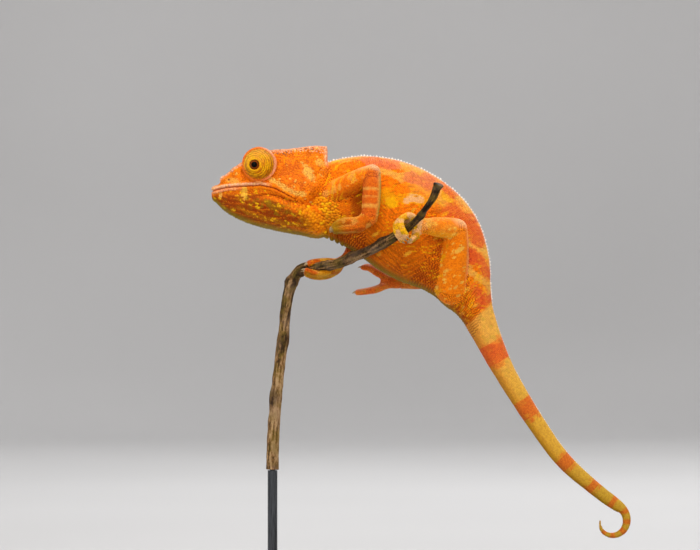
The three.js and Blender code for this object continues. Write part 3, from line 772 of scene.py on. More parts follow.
def limb_marks(spot, mark):
    """Markings of the limbs, richest on those of the animal's left side, with painted highlights on the
    near limbs' tops and painted shade on the far limbs and beneath.
    """
    at, stage = spot["at"], spot["stage"]
    rear, _, up = spot["out"].T
    near_hand, far_hand, near_hind, far_hind = (spot["part"] == PARTS.index(name) for name in LIMBS)
    fore, far = near_hand | far_hand, far_hand | far_hind
    upper = fall(0.85, 1.05, stage)
    lower = smoothstep(0.9, 1.05, stage) * fall(ANKLE, 2.1, stage)
    foot = smoothstep(ANKLE, 2.2, stage)
    knee = bump(stage - 1.0, 0.35)
    blotch = smoothstep(0.5, 0.66, noise(at, 2.2, 81))
    net = smoothstep(0.6, 0.85, streaks(at, 70, 2.1, 82)) * smoothstep(0.35, 0.55, noise(at, 3.6, 85))
    short = np.maximum(dashes(at, 3.0, 1.05, 0.5, 88, -0.5), dashes(at, 1.7, 0.6, 0.45, 89, -0.3))
    rings = bump(stage - 1.38, 0.07) + bump(stage - 1.75, 0.1) + 0.7 * bump(stage - 1.55, 0.05)
    mark["tan"] = most(
        np.where(fore, 0.55 * upper * blotch * (up > -0.3) + 0.5 * foot * blotch,
                 0.3 * (lower + foot) * (0.3 + 0.7 * blotch) + 0.85 * upper * short),
        fore * 0.8 * np.clip(1.3 * rings - 0.7 * noise(at, 1.4, 86), 0, 1),
        # Painted highlight: the near limbs are paler on their tops and knees.
        ~far * 0.7 * knee * smoothstep(0.0, 0.7, up),
        ~far * 0.45 * (upper + foot) * smoothstep(0.55, 0.9, up),
        near_hind * 0.8 * smoothstep(1.6, ANKLE, stage) * (up > -0.2) * (0.4 + 0.6 * blotch),
        fore * 0.85 * smoothstep(0.55, 0.95, rear) * lower)
    flecks = dashes(at[:, [2, 1, 0]], 1.9, 0.5, 0.4, 87)
    mark["yellow"] = most(
        np.where(fore, 0.5 * upper * np.maximum(net, flecks), (upper + lower) * (0.1 + 0.85 * short)),
        near_hind * foot * (0.6 + 0.35 * smoothstep(0.45, 0.6, noise(at, 2.2, 90))),
        near_hind * 0.4 * lower * smoothstep(0.2, 0.8, -up),
        near_hind * 0.65 * upper * smoothstep(0.45, 0.85, -rear) * blotch,
        far_hand * foot * 0.4 * smoothstep(0.45, 0.6, noise(at, 2.2, 80)))
    mark["pink"] = most(
        0.2 * (upper + lower) * ~fore * short,
        # Painted highlight: pink over the top of each knee.
        0.55 * knee * smoothstep(0.1, 0.8, up + 0.4 * rear),
        near_hind * 0.55 * foot * smoothstep(0.5, 0.62, noise(at, 2.4, 83)),
        near_hind * 0.25 * upper * smoothstep(0.8, 0.98, rear),
        # Painted highlight: pink along the top of the far hind leg.
        far_hind * 0.3 * smoothstep(0.3, 0.9, up) * (stage > 1.5))
    mark["red"] = np.where(far, np.where(fore, 0.2, 0.45), 0.1) + 0.25 * fore * lower
    sole = (near_hind | far_hand) * fall(-0.7, 0.1, up)
    mark["olive"] = most(
        near_hand * 0.7 * smoothstep(3.2, 3.9, stage),
        foot * (0.35 * bump(noise(at, 2.4, 84) - 0.5, 0.09) + 0.3 * sole),
        near_hand * 0.5 * smoothstep(0.8, 1, rear) * lower)
    # Painted shade: the far limbs, the undersides of the upper arms, the near hand, more underneath, and
    # the forearms, more on their front.
    arm_under = fall(-0.9, -0.2, up) * (stage < 1.2) * fore
    mark["deep"] = most(
        np.clip(far * 0.35 + 0.25 * far_hand * foot + 0.45 * arm_under, 0, 0.8),
        near_hand * foot * (0.35 + 0.35 * fall(-0.6, 0.3, up)),
        fore * lower * (0.25 + 0.3 * fall(-0.9, -0.2, rear)))


def markings(spot):
    """The eight marks at each point, in the order of MARKS."""
    n = len(spot["at"])
    total = np.zeros((n, len(MARKS)))
    part = spot["part"]
    groups = [(part == ON_TRUNK, trunk_marks), (is_head(part), head_marks),
              (part == ON_TURRET, turret_marks), (part >= FIRST_LIMB, limb_marks)]
    for chosen, painter in groups:
        if not chosen.any():
            continue
        mark = {name: np.zeros(int(chosen.sum())) for name in MARKS}
        painter(picked(spot, chosen), mark)
        total[chosen] = np.stack([mark[name] for name in MARKS], 1)
    return np.clip(total, 0, 1)


# ---- The skin's folds, as a rise along the surface in millimetres ----
def folds(spot):
    at, part, stage = spot["at"], spot["part"], spot["stage"]
    x, y, z = at.T
    head, body, turret, limb = is_head(part), part == ON_TRUNK, part == ON_TURRET, part >= FIRST_LIMB
    side_on = smoothstep(1.0, 3.0, np.abs(y))
    mouth, crease, neck = (gap_to(at, line) for line in (MOUTH, LIP_CREASE, NECK_CREASE))
    rise = 0.16 * (noise(at, 3.1, 91) - 0.5)
    rise += head * (-0.6 * np.exp(-(mouth / 0.34) ** 2) + 0.25 * bump(mouth - 1.0, 0.9))
    rise += head * side_on * -0.35 * np.exp(-(crease / 0.5) ** 2)
    rise += side_on * (part < ON_TURRET) * (-0.7 * np.exp(-(neck / 0.8) ** 2))
    nostril = in_view(at, *NOSTRIL)
    rise += head * (-0.7 * fall(0.25, 0.8, nostril) + 0.25 * bump(nostril - 1.1, 0.5))
    rise += head * (-0.85 * patch(at, -95.6, 187.9, 1.5, 1.0, 40)
                    + 0.25 * patch(at, -97.4, 185.3, 2.4, 1.4))
    rise += head * (0.4 * patch(at, -93.9, 190.4, 1.2, 1.2)
                    + 0.35 * patch(at, -88.6, 193.9, 1.3, 1.0, 40))
    rise += head * side_on * -0.35 * patch(at, -86.5, 191, 3.2, 1.6, 30)
    rim, reach = eye_gap(at), pupil_gap(at)
    rise += head * -0.5 * bump(rim - 8.6, 0.8) * (z > 186) * smoothstep(4, 6, np.abs(y))
    hollow = 0.35 * smoothstep(4.2, 6.7, rim) * fall(6.7, 7, rim)
    rise += turret * (0.28 * bump(rim - 7.3, 0.5) - 0.2 * bump(rim - 6.7, 0.4) - hollow)
    rise += turret * (rim < 6.4) * (reach > 3.1) * -0.34 * turret_rings(at)
    rise += turret * (0.35 * bump(reach - 2.75, 0.55) - 1.9 * fall(1.7, 2.3, reach))
    rise += 0.5 * patch(at, -44, 162.5, 6, 7) * body * np.sin(2 * math.pi * (x + 0.25 * z) / 2.1)
    rise += 0.3 * patch(at, -41, 187, 11, 10) * body * side_on * (streaks(at, 24, 2.7, 44) - 0.5)
    rise += 0.15 * flank_zone(spot) * body * side_on * (flank_rows(at) - 0.5)
    wrist = bump(stage - 1.95, 0.22) + bump(stage - 1.06, 0.12)
    rise += limb * 0.22 * wrist * np.sin(2 * math.pi * stage * 13)
    return rise


# ---- Meshes ----
def new_piece(name, points, faces, smooth=True):
    """A new object in metres from points in millimetres."""
    mesh = bpy.data.meshes.new(name)
    mesh.from_pydata((np.asarray(points) * MM).tolist(), [], [tuple(f) for f in faces])
    mesh.update()
    if smooth:
        mesh.shade_smooth()
    piece = bpy.data.objects.new(name, mesh)
    bpy.context.scene.collection.objects.link(piece)
    return piece


def joined(bodies):
    """Several bodies' points and faces as one."""
    points, faces, count = [], [], 0
    for body_points, body_faces in bodies:
        points.append(body_points)
        faces.extend(tuple(i + count for i in face) for face in body_faces)
        count += len(body_points)
    return np.vstack(points), faces


def outward(piece):
    """Merges doubled points and turns every face outwards."""
    work = bmesh.new()
    work.from_mesh(piece.data)
    bmesh.ops.remove_doubles(work, verts=work.verts, dist=1e-7)
    bmesh.ops.recalc_face_normals(work, faces=work.faces)
    work.to_mesh(piece.data)
    work.free()


def final_mesh(piece):
    """The evaluated mesh of a piece with its modifiers, kept as its own plain mesh."""
    graph = bpy.context.evaluated_depsgraph_get()
    mesh = bpy.data.meshes.new_from_object(piece.evaluated_get(graph))
    piece.modifiers.clear()
    old = piece.data
    piece.data = mesh
    bpy.data.meshes.remove(old)
    mesh.name = piece.name


def fetched(items, name, width, kind=float):
    """One property of a mesh's items as an array, a row each."""
    values = np.zeros(len(items) * width, kind)
    items.foreach_get(name, values)
    return values.reshape(-1, width)


def store(mesh, name, kind, values):
    """Keeps a FLOAT, FLOAT_VECTOR or FLOAT_COLOR on each point of a mesh."""
    field = {"FLOAT": "value", "FLOAT_VECTOR": "vector", "FLOAT_COLOR": "color"}[kind]
    layer = mesh.attributes.new(name, kind, "POINT")
    layer.data.foreach_set(field, values.astype(np.float32).ravel())


def read_points(mesh):
    return fetched(mesh.vertices, "co", 3) / MM


def write_points(mesh, points):
    mesh.vertices.foreach_set("co", (points * MM).ravel())
    mesh.update()


def read_normals(mesh):
    return fetched(mesh.vertex_normals, "vector", 3)


def relax(points, edges, weight, rounds, back=0.0):
    """Evens out points towards their neighbours, then lets them out again by a share."""
    count = np.bincount(edges.ravel(), minlength=len(points)).astype(float)[:, None]
    first, second = edges.T
    for step in range(rounds):
        total = np.stack([np.bincount(first, points[second, c], len(points))
                          + np.bincount(second, points[first, c], len(points)) for c in range(3)], 1)
        push = -back if step % 2 and back else 1.0
        points = points + push * weight[:, None] * (total / count - points)
    return points


def write_marks(mesh, marks):
    store(mesh, "marks_a", "FLOAT_COLOR", marks[:, :4])
    store(mesh, "marks_b", "FLOAT_COLOR", marks[:, 4:])


def skin_bodies(depth):
    """Every length of the animal as points and faces, drawn in by the coat's depth."""
    bodies = [loft(TRUNK, 260, 56, dome_end=CURL["tip"], grow=-depth),
              loft(SKULL_SECTIONS, 70, 64, SQUARENESS["skull"], dome_start=1.8, grow=-depth),
              loft(JAW_SECTIONS, 60, 64, SQUARENESS["jaw"], dome_start=1.8, dome_end=2.2, grow=-depth)]
    radii = np.array([EYE["radius"], EYE["depth"], EYE["radius"]]) - depth
    for hand in (-1, 1):
        bodies.append(ball((EYE["x"], hand * EYE["y"], EYE["z"]), radii, 56, 36))
    for parts in LIMBS.values():
        for body in limb_bodies(parts, depth):
            bodies.append(loft(body_sections(body), 16, 24, dome_start=body[0][3], dome_end=body[-1][3]))
    return bodies


def joint_weight(points):
    """1 where limbs, feet, head and neck grow together, falling to 0 away from there."""
    weight = np.zeros(len(points))
    for parts in LIMBS.values():
        joints = np.array(parts["joints"], float)
        reaches = [joints[0][3] + 6, joints[1][3] + 1.5, joints[2][3] + 1.5, joints[3][3] + 1.5]
        for joint, reach in zip(joints, reaches):
            gap = np.linalg.norm(points - joint[:3], axis=1)
            weight = np.maximum(weight, fall(0.7 * reach, 1.25 * reach, gap))
    throat = patch(points, -49, 166, 5, 6)
    nape = patch(points, -48, 191, 4, 5)
    return most(weight, throat, nape, 0.5 * bump(eye_gap(points) - EYE["radius"] - 0.4, 1.6))


def make_skin(sizes):
    """One closed skin round every length, smoothed at the joints, folded and marked."""
    points, faces = joined(skin_bodies(sizes.coat_depth / MM))
    # The grid is laid in millimetres, and the mesh is brought back to metres after it.
    skin = new_piece("skin", points / MM, faces)
    remesh = skin.modifiers.new("One skin", "REMESH")
    remesh.mode = "VOXEL"
    remesh.voxel_size = sizes.skin_grid / MM
    final_mesh(skin)
    mesh = skin.data
    work = bmesh.new()
    work.from_mesh(mesh)
    bmesh.ops.recalc_face_normals(work, faces=work.faces)
    for vertex in work.verts:
        vertex.co *= MM
    work.to_mesh(mesh)
    work.free()
    edges = fetched(mesh.edges, "vertices", 2, int)
    points = read_points(mesh)
    points = relax(points, edges, joint_weight(points), 14)
    points = relax(points, edges, np.full(len(points), 0.5), 4, 1.02)
    write_points(mesh, points)
    refine_face(mesh)
    points = read_points(mesh)
    spot = locate(points)
    write_points(mesh, points + read_normals(mesh) * folds(spot)[:, None])
    marks = markings(spot)
    # The skin between the scales is painted deeper in colour than they are: painted shade in the gaps.
    between = np.select([spot["part"] == ON_TRUNK, spot["part"] >= FIRST_LIMB], [0.5, 0.3], 0.1)
    marks[:, DEEP] = np.clip(marks[:, DEEP] + between, 0, 1)
    write_marks(mesh, marks)
    mesh.shade_smooth()
    return skin


def refine_face(mesh):
    """Splits the faces round the eyes and along the mouth, where the folds are fine."""
    points = read_points(mesh)
    x, _, z = points.T
    eye = (eye_gap(points) < 9.4) & (z > 187)
    mouth = (gap_to(points, MOUTH) < 1.4) & (x < -58)
    snout = (x < -91.5) & (z > 183)
    fine = eye | mouth | snout
    work = bmesh.new()
    work.from_mesh(mesh)
    work.verts.ensure_lookup_table()
    chosen = [e for e in work.edges if fine[e.verts[0].index] and fine[e.verts[1].index]]
    bmesh.ops.subdivide_edges(work, edges=chosen, cuts=1, use_grid_fill=True)
    bmesh.ops.triangulate(work, faces=[f for f in work.faces if len(f.verts) > 4])
    work.to_mesh(mesh)
    work.free()
    mesh.update()


# ---- Materials ----
def linear(code):
    """A colour written as six hexadecimal digits, as linear values."""
    values = [int(code[i:i + 2], 16) / 255 for i in (0, 2, 4)]
    return [v / 12.92 if v <= 0.04045 else ((v + 0.055) / 1.055) ** 2.4 for v in values]


def rgba(colour):
    return (*colour[:3], 1.0)


class Graph:
    """Adds nodes to a node tree and joins them."""

    def __init__(self, tree):
        self.tree = tree

    def add(self, kind, inputs=None, **settings):
        node = self.tree.nodes.new(kind)
        for key, value in settings.items():
            setattr(node, key, value)
        for key, value in (inputs or {}).items():
            socket = node.inputs[key]
            if isinstance(value, bpy.types.NodeSocket):
                self.tree.links.new(value, socket)
            else:
                socket.default_value = value
        return node

    def math(self, operation, *values, clamp=False):
        node = self.add("ShaderNodeMath", dict(enumerate(values)), operation=operation, use_clamp=clamp)
        return node.outputs[0]

    def mix(self, factor, a, b, blend="MIX"):
        node = self.add("ShaderNodeMix", {0: factor, 6: a, 7: b}, data_type="RGBA", blend_type=blend)
        return node.outputs[2]

    def attribute(self, name):
        return self.add("ShaderNodeAttribute", attribute_name=name).outputs["Fac"]

    def noise(self, place, scale, detail=3.0, roughness=0.55, distortion=0.0):
        return self.add("ShaderNodeTexNoise", {"Vector": place, "Scale": scale, "Detail": detail,
                                               "Roughness": roughness, "Distortion": distortion}).outputs[0]

    def ramp(self, factor, *stops):
        node = self.add("ShaderNodeValToRGB", {0: factor})
        elements = node.color_ramp.elements
        while len(elements) < len(stops):
            elements.new(0.5)
        for element, (position, colour) in zip(elements, stops):
            element.position = position
            element.color = rgba(colour) if hasattr(colour, "__len__") else (colour, colour, colour, 1)
        return node.outputs[0]

    def place(self, scale=(1, 1, 1)):
        coordinates = self.add("ShaderNodeTexCoord").outputs["Object"]
        return self.add("ShaderNodeMapping", {"Vector": coordinates, "Scale": scale}).outputs[0]


def socketed_group(name, kind, inputs, outputs):
    """An empty node group with named sockets, each with its default."""
    group = bpy.data.node_groups.new(name, kind)
    for label, (socket, default) in inputs.items():
        item = group.interface.new_socket(label, in_out="INPUT", socket_type=socket)
        if default is not None:
            item.default_value = default
    for label, socket in outputs.items():
        group.interface.new_socket(label, in_out="OUTPUT", socket_type=socket)
    return group, Graph(group), group.nodes.new("NodeGroupInput"), group.nodes.new("NodeGroupOutput")


MARKING_GROUP = "Chameleon Markings"


def marking_group(colours):
    """Mixes the animal's colours by the marks that each point carries."""
    kinds = {name: ("NodeSocketColor", rgba(getattr(colours, name))) for name in
             ("orange", "deep", "red", "tan", "yellow", "olive", "pink", "dark", "crevice")}
    kinds["Crevice Share"] = ("NodeSocketFloat", 0.0)
    kinds["Mottle"] = ("NodeSocketFloat", 0.3)
    results = {"Color": "NodeSocketColor", "Mottle": "NodeSocketFloat"}
    group, graph, given, result = socketed_group(MARKING_GROUP, "ShaderNodeTree", kinds, results)
    first = graph.add("ShaderNodeAttribute", attribute_name="marks_a")
    second = graph.add("ShaderNodeAttribute", attribute_name="marks_b")
    red, yellow, tan = graph.add("ShaderNodeSeparateColor", {0: first.outputs["Color"]}).outputs
    dark, olive, deep = graph.add("ShaderNodeSeparateColor", {0: second.outputs["Color"]}).outputs
    pink, chance = first.outputs["Alpha"], second.outputs["Alpha"]
    colour = given.outputs["orange"]
    for factor, name in ((deep, "deep"), (red, "red"), (tan, "tan"), (yellow, "yellow"), (olive, "olive"),
                         (pink, "pink"), (dark, "dark")):
        colour = graph.mix(factor, colour, given.outputs[name])
    # Painted shade: the crevice colour darkens the skin seen in the gaps between scales.
    colour = graph.mix(given.outputs["Crevice Share"], colour, given.outputs["crevice"])
    mottle = graph.noise(graph.place(), 900.0, 2.0)
    mottle = graph.math("MULTIPLY_ADD", chance, 0.6, graph.math("MULTIPLY", mottle, 0.8))
    shift = graph.math("MULTIPLY", graph.math("SUBTRACT", mottle, 0.7), given.outputs["Mottle"])
    value = graph.math("ADD", shift, 1.0)
    hue = graph.math("MULTIPLY_ADD", shift, 0.06, 0.5)
    toned = graph.add("ShaderNodeHueSaturation", {"Hue": hue, "Saturation": 1.0, "Value": value, "Fac": 1.0,
                                                  "Color": colour}).outputs[0]
    group.links.new(toned, result.inputs["Color"])
    group.links.new(mottle, result.inputs["Mottle"])
    return group


def new_material(name, **sockets):
    """A material, its graph and its shader, with the shader's sockets set by name."""
    material = bpy.data.materials.new(name)
    material.use_nodes = True
    graph = Graph(material.node_tree)
    shader = material.node_tree.nodes["Principled BSDF"]
    for label, value in sockets.items():
        shader.inputs[label.replace("_", " ")].default_value = value
    return material, graph, shader


def finish(graph, shader, colour, rough=None, height=None, depth=0.0, distance=0.0001):
    """Joins a finish's colour and, where given, its roughness and its fine relief to the shader."""
    link = graph.tree.links.new
    link(colour, shader.inputs["Base Color"])
    if rough is not None:
        link(rough, shader.inputs["Roughness"])
    if height is not None:
        relief = graph.add("ShaderNodeBump", {"Height": height, "Strength": depth, "Distance": distance})
        link(relief.outputs[0], shader.inputs["Normal"])


def hide_material(name, group, crevice, roughness):
    """The animal's own finish, for skin when crevice is high and for scales when it is low; on the skin the
    crevice colour is painted shade in the gaps between scales.
    """
    material, graph, shader = new_material(name, Specular_IOR_Level=0.2, Specular_Tint=(1, 0.7, 0.4, 1))
    node = graph.add("ShaderNodeGroup", {}, node_tree=group)
    node.inputs["Crevice Share"].default_value = crevice
    sheen = graph.noise(graph.place(), 420.0, 2.0)
    rough = graph.math("MULTIPLY_ADD", sheen, 0.22, roughness)
    finish(graph, shader, node.outputs["Color"], rough, graph.noise(graph.place(), 5200.0, 2.0), 0.35)
    return material


def bead_material(colours):
    """The pale beads that run along the back, from pink to near-white at random."""
    material, graph, shader = new_material("pale beads", Specular_IOR_Level=0.4)
    chalk = graph.noise(graph.place(), 700.0, 2.0)
    colour = graph.ramp(chalk, (0.25, colours.pink), (0.45, colours.bead))
    finish(graph, shader, colour, graph.math("MULTIPLY_ADD", chalk, 0.2, 0.4), chalk, 0.2)
    return material


# ---- What a user may change ----
def length(label, text, default):
    return FloatProperty(name=label, description=text, default=default, unit="LENGTH", subtype="DISTANCE",
                         min=0.0, precision=5)


def colour(label, text, code):
    return FloatVectorProperty(name=label, description=text, default=linear(code), subtype="COLOR", size=3,
                               min=0.0, max=1.0)


class ChameleonSizes(bpy.types.PropertyGroup):
    coat_depth: length("Coat depth", "How far the skin lies inside the solids", 0.0003)
    skin_grid: length("Skin grid", "Size of the grid that joins the skin's lengths", 0.00066)
    body_scale: length("Body scale", "Spacing of the scales on the trunk", 0.00078)
    claw_length: length("Claw length", "Length of each claw from inside the toe", 0.0018)


class ChameleonColours(bpy.types.PropertyGroup):
    orange: colour("Orange", "Ground colour of the animal", "fa8406")
    deep: colour("Deep orange", "Folds, groin and throat shade", "983c00")
    red: colour("Red", "Blotches on the back and bands on the tail", "e25a28")
    tan: colour("Tan", "Bars between the red, and pale scales", "efb750")
    yellow: colour("Yellow", "Bright patches and beads", "f6bc0a")
    olive: colour("Olive", "Line along the belly and tail", "8a7c08")
    pink: colour("Pink", "Pale lips, crest and limb edges", "f4c09c")
    bead: colour("Bead", "Beads along the back", "f4ece2")
    # Dark: the casque's speckles are its own colour; at the mouth's line and the nostril it is painted
    # shade.
    dark: colour("Dark", "Speckles on the casque, and the mouth line", "5d4238")
    # Painted shade: the colour given to the skin seen in the gaps between scales.
    crevice: colour("Crevice", "Skin between the scales", "a03800")
    iris: colour("Iris", "Ring round the pupil", "9a4a14")
    pupil: colour("Pupil", "Middle of the eye", "050303")
    claw: colour("Claw", "Horn of the claws", "9a7c50")
    bark: colour("Bark", "Body colour of the twig", "3e2c14")
    # The ridges' colour: partly wear, partly painted light against painted shade in the furrows.
    bark_light: colour("Light bark", "Worn ridges of the twig", "846038")
    wood: colour("Wood", "Stand base", "4a2f1d")
    steel: colour("Steel", "Stand rod", "2b2d30")
    floor: colour("Floor", "Paper under and behind the model", "c8c7c7")


# ---- Scales: roots spread over the skin, then one small shape on each ----
class Hide:
    """The finished skin as arrays, for finding places on it."""

    def __init__(self, skin):
        mesh = skin.data
        mesh.calc_loop_triangles()
        self.points = read_points(mesh)
        self.normals = read_normals(mesh)
        self.corners = fetched(mesh.loop_triangles, "vertices", 3, int)
        self.tree = BVHTree.FromPolygons(self.points.tolist(), self.corners.tolist())

    def nearest(self, points, reach):
        """Places on the skin nearest to points, their normals, and which points found one."""
        found, faces, kept = [], [], []
        for i, point in enumerate(points.tolist()):
            place, _, face, _ = self.tree.find_nearest(point, reach)
            if place is not None:
                found.append(place)
                faces.append(face)
                kept.append(i)
        return np.array(found), unit(self.normals[self.corners[np.array(faces)]].sum(1)), np.array(kept)

    def random(self, spacing, crowding, seed):
        """Random places, denser where the spacing is small."""
        corners = self.points[self.corners]
        first, second = corners[:, 1] - corners[:, 0], corners[:, 2] - corners[:, 0]
        area = np.linalg.norm(np.cross(first, second), axis=1) / 2
        wanted = crowding[self.corners].mean(1) * area / (HEX_ROW * spacing[self.corners].mean(1) ** 2)
        draw = np.random.default_rng(seed)
        count = np.floor(wanted + draw.random(len(wanted))).astype(int)
        face = np.repeat(np.arange(len(wanted)), count)
        face = face[draw.permutation(len(face))]
        a, b = draw.random(len(face)), draw.random(len(face))
        over = a + b > 1
        a[over], b[over] = 1 - a[over], 1 - b[over]
        share = np.stack([1 - a - b, a, b], 1)[..., None]
        return (corners[face] * share).sum(1), unit((self.normals[self.corners[face]] * share).sum(1))


def scale_spacing(spot, trunk):
    """How far apart scales stand at each place: smallest on the face and the feet."""
    at, part = spot["at"], spot["part"]
    tail = np.interp(spot["station"], TAIL_STATIONS, [trunk, *TAIL_SPACING])
    face = np.interp(at[:, 0], [-98, -90, -80, -68, -52], [0.52, 0.6, 0.7, 0.85, 0.9])
    face = face - 0.15 * bump(gap_to(at, MOUTH), 2.0)
    space = np.where(is_head(part), face, tail) + 0.42 * patch(at, *GULAR)
    limb = np.interp(spot["stage"], [0, 1, ANKLE, 3.2, 5.5], [0.72, 0.68, 0.6, 0.52, 0.45])
    return np.select([part == ON_TURRET, part >= FIRST_LIMB], [0.5, limb], space)


def ring_lattice(sections, spacing_at, depth, first=0.0):
    """Rows of places round a swept body, each row shifted by half a step."""
    last = len(sections) - 1
    turn = np.linspace(0, 2 * math.pi, 97) + math.pi / 2
    rows, place, odd = [], first, 0
    while place <= last:
        ring = on_surface(sections, np.full(len(turn), place), turn, grow=-depth)
        step = spacing_at(place)
        length = walked(ring)
        marks = np.arange(odd * step / 2, length[-1] / 2, step)
        marks = np.concatenate([marks, length[-1] - marks[1 - odd:]])
        rows.append(np.stack([np.interp(marks, length, ring[:, c]) for c in range(3)], 1))
        here, ahead = reading(sections, np.array([place, min(place + 0.02, last)]))[:, :3]
        pace = max(np.linalg.norm(ahead - here) / 0.02, 0.5)
        place += HEX_ROW * step / pace
        odd = 1 - odd
    return np.vstack(rows)


def turret_lattice():
    """Rows of places that ring the opening of each eye, over its round lid."""
    places = []
    for ring, radius in enumerate(np.arange(2.5, 9.4, 0.46)):
        turn = np.arange(0.5 * (ring % 2), 2 * math.pi * radius / 0.62) * 0.62 / radius
        x, z = PUPIL["x"] + radius * np.cos(turn), PUPIL["z"] + radius * np.sin(turn)
        rim = np.hypot(x - EYE["x"], z - EYE["z"]) / EYE["radius"]
        height = EYE["y"] + EYE["depth"] * np.sqrt(1 - np.minimum(rim, LID_EDGE) ** 2)
        for hand in (-1, 1):
            places.append(np.stack([x, hand * height, z], 1)[rim < LID_EDGE])
    return np.vstack(places)


def lattice_places(trunk, depth):
    """Rows of places over the trunk, the tail and the limbs."""
    def trunk_step(place):
        return float(np.interp(place, [0, *TAIL_STATIONS], [trunk, trunk, *TAIL_SPACING]))
    rows = [ring_lattice(TRUNK, trunk_step, depth, 0.4)]
    for parts in LIMBS.values():
        for body, step in zip(limb_bodies(parts, depth), (0.7, 0.64, 0.58)):
            rows.append(ring_lattice(body_sections(body), lambda _, size=step: size, 0))
    return np.vstack(rows)


def thin_out(points, spacing):
    """Which places are kept, so that no two stand closer than their spacing."""
    cell = 1.3
    grid, kept = {}, []
    around = [(i, j, k) for i in (-1, 0, 1) for j in (-1, 0, 1) for k in (-1, 0, 1)]
    for index, ((x, y, z), space) in enumerate(zip(points.tolist(), spacing.tolist())):
        cx, cy, cz = int(x // cell), int(y // cell), int(z // cell)
        limit = space * space
        clear = True
        for i, j, k in around:
            for px, py, pz in grid.get((cx + i, cy + j, cz + k), ()):
                if (px - x) ** 2 + (py - y) ** 2 + (pz - z) ** 2 < limit:
                    clear = False
                    break
            if not clear:
                break
        if clear:
            grid.setdefault((cx, cy, cz), []).append((x, y, z))
            kept.append(index)
    return np.array(kept)


def lie_of(spot):
    """The way scales point: to the tail on the body, to the toes on the limbs."""
    row = reading(TRUNK, spot["station"])
    lie = np.cross(row[:, 6:9], row[:, 3:6])
    lie[is_head(spot["part"])] = (1, 0, -0.3)
    turret = spot["part"] == ON_TURRET
    radial = spot["at"] - np.array([PUPIL["x"], 0, PUPIL["z"]])
    radial[:, 1] = 0
    lie[turret] = np.cross(radial[turret], (0, 1, 0))
    for k, parts in enumerate(LIMBS.values(), start=FIRST_LIMB):
        chain = np.array(parts["joints"], float)[:, :3]
        index = np.clip(spot["stage"].astype(int), 0, 2)
        chosen = spot["part"] == k
        lie[chosen] = (chain[index + 1] - chain[index])[chosen]
    return unit(lie, NEAR_NOTHING)


def chart_of(spot):
    """A place on an unwrap of each part's own shape, from 0 to 1 both ways."""
    part, at = spot["part"], spot["at"]
    round_body = (spot["angle"] / (2 * math.pi)) % 1
    chart = np.stack([spot["station"] / (len(TRUNK) - 1), round_body], 1)
    for k, rows, shift in ((ON_SKULL, SKULL, 0.0), (ON_JAW, JAW, 0.5)):
        chosen = part == k
        u = (at[:, 0] - rows[0][0] + 4) / (rows[-1][0] - rows[0][0] + 8)
        v = shift + 0.5 * ((spot[PARTS[k] + "_angle"] / (2 * math.pi)) % 1)
        chart[chosen] = np.stack([u, v], 1)[chosen]
    turret = part == ON_TURRET
    flat = (at[:, [0, 2]] - [EYE["x"], EYE["z"]]) / (4.6 * EYE["radius"]) + 0.5
    flat[:, 0] = 0.5 * flat[:, 0] + np.where(at[:, 1] < 0, 0.0, 0.5)
    chart[turret] = flat[turret]
    rear, _, up = spot["out"].T
    turn = np.arctan2(up, np.hypot(rear, NEAR_NOTHING) * np.sign(rear))
    around = 0.24 * ((turn / (2 * math.pi)) % 1)
    limb = part >= FIRST_LIMB
    chart[limb] = np.stack([spot["stage"] / 6, around + 0.25 * (part - FIRST_LIMB)], 1)[limb]
    return 0.004 + 0.992 * np.clip(chart, 0, 1)


SCATTER = "Stand Shapes On Roots"


def dome_shape(name, rings, sides=6):
    """A small low dome one unit long and wide: rings of radius and height, closed on top."""
    turns = [2 * math.pi * s / sides for s in range(sides)]
    points = [[radius * math.cos(turn), radius * math.sin(turn), height]
              for radius, height in rings for turn in turns]
    faces = band_faces(len(rings), sides)
    top = (len(rings) - 1) * sides
    points.append([0, 0, rings[-1][1] * 1.18])
    faces += [(top + s, top + (s + 1) % sides, len(points) - 1) for s in range(sides)]
    shape = new_piece(name, np.array(points) / MM, faces)
    store_local(shape)
    return shape


def store_local(shape):
    """Keeps each point's place within the shape, for its patch on the unwrap."""
    mesh = shape.data
    local = read_points(mesh) * MM
    reach = np.abs(local).max()
    local[:, 2] = 0
    store(mesh, "local", "FLOAT_VECTOR", local / reach)


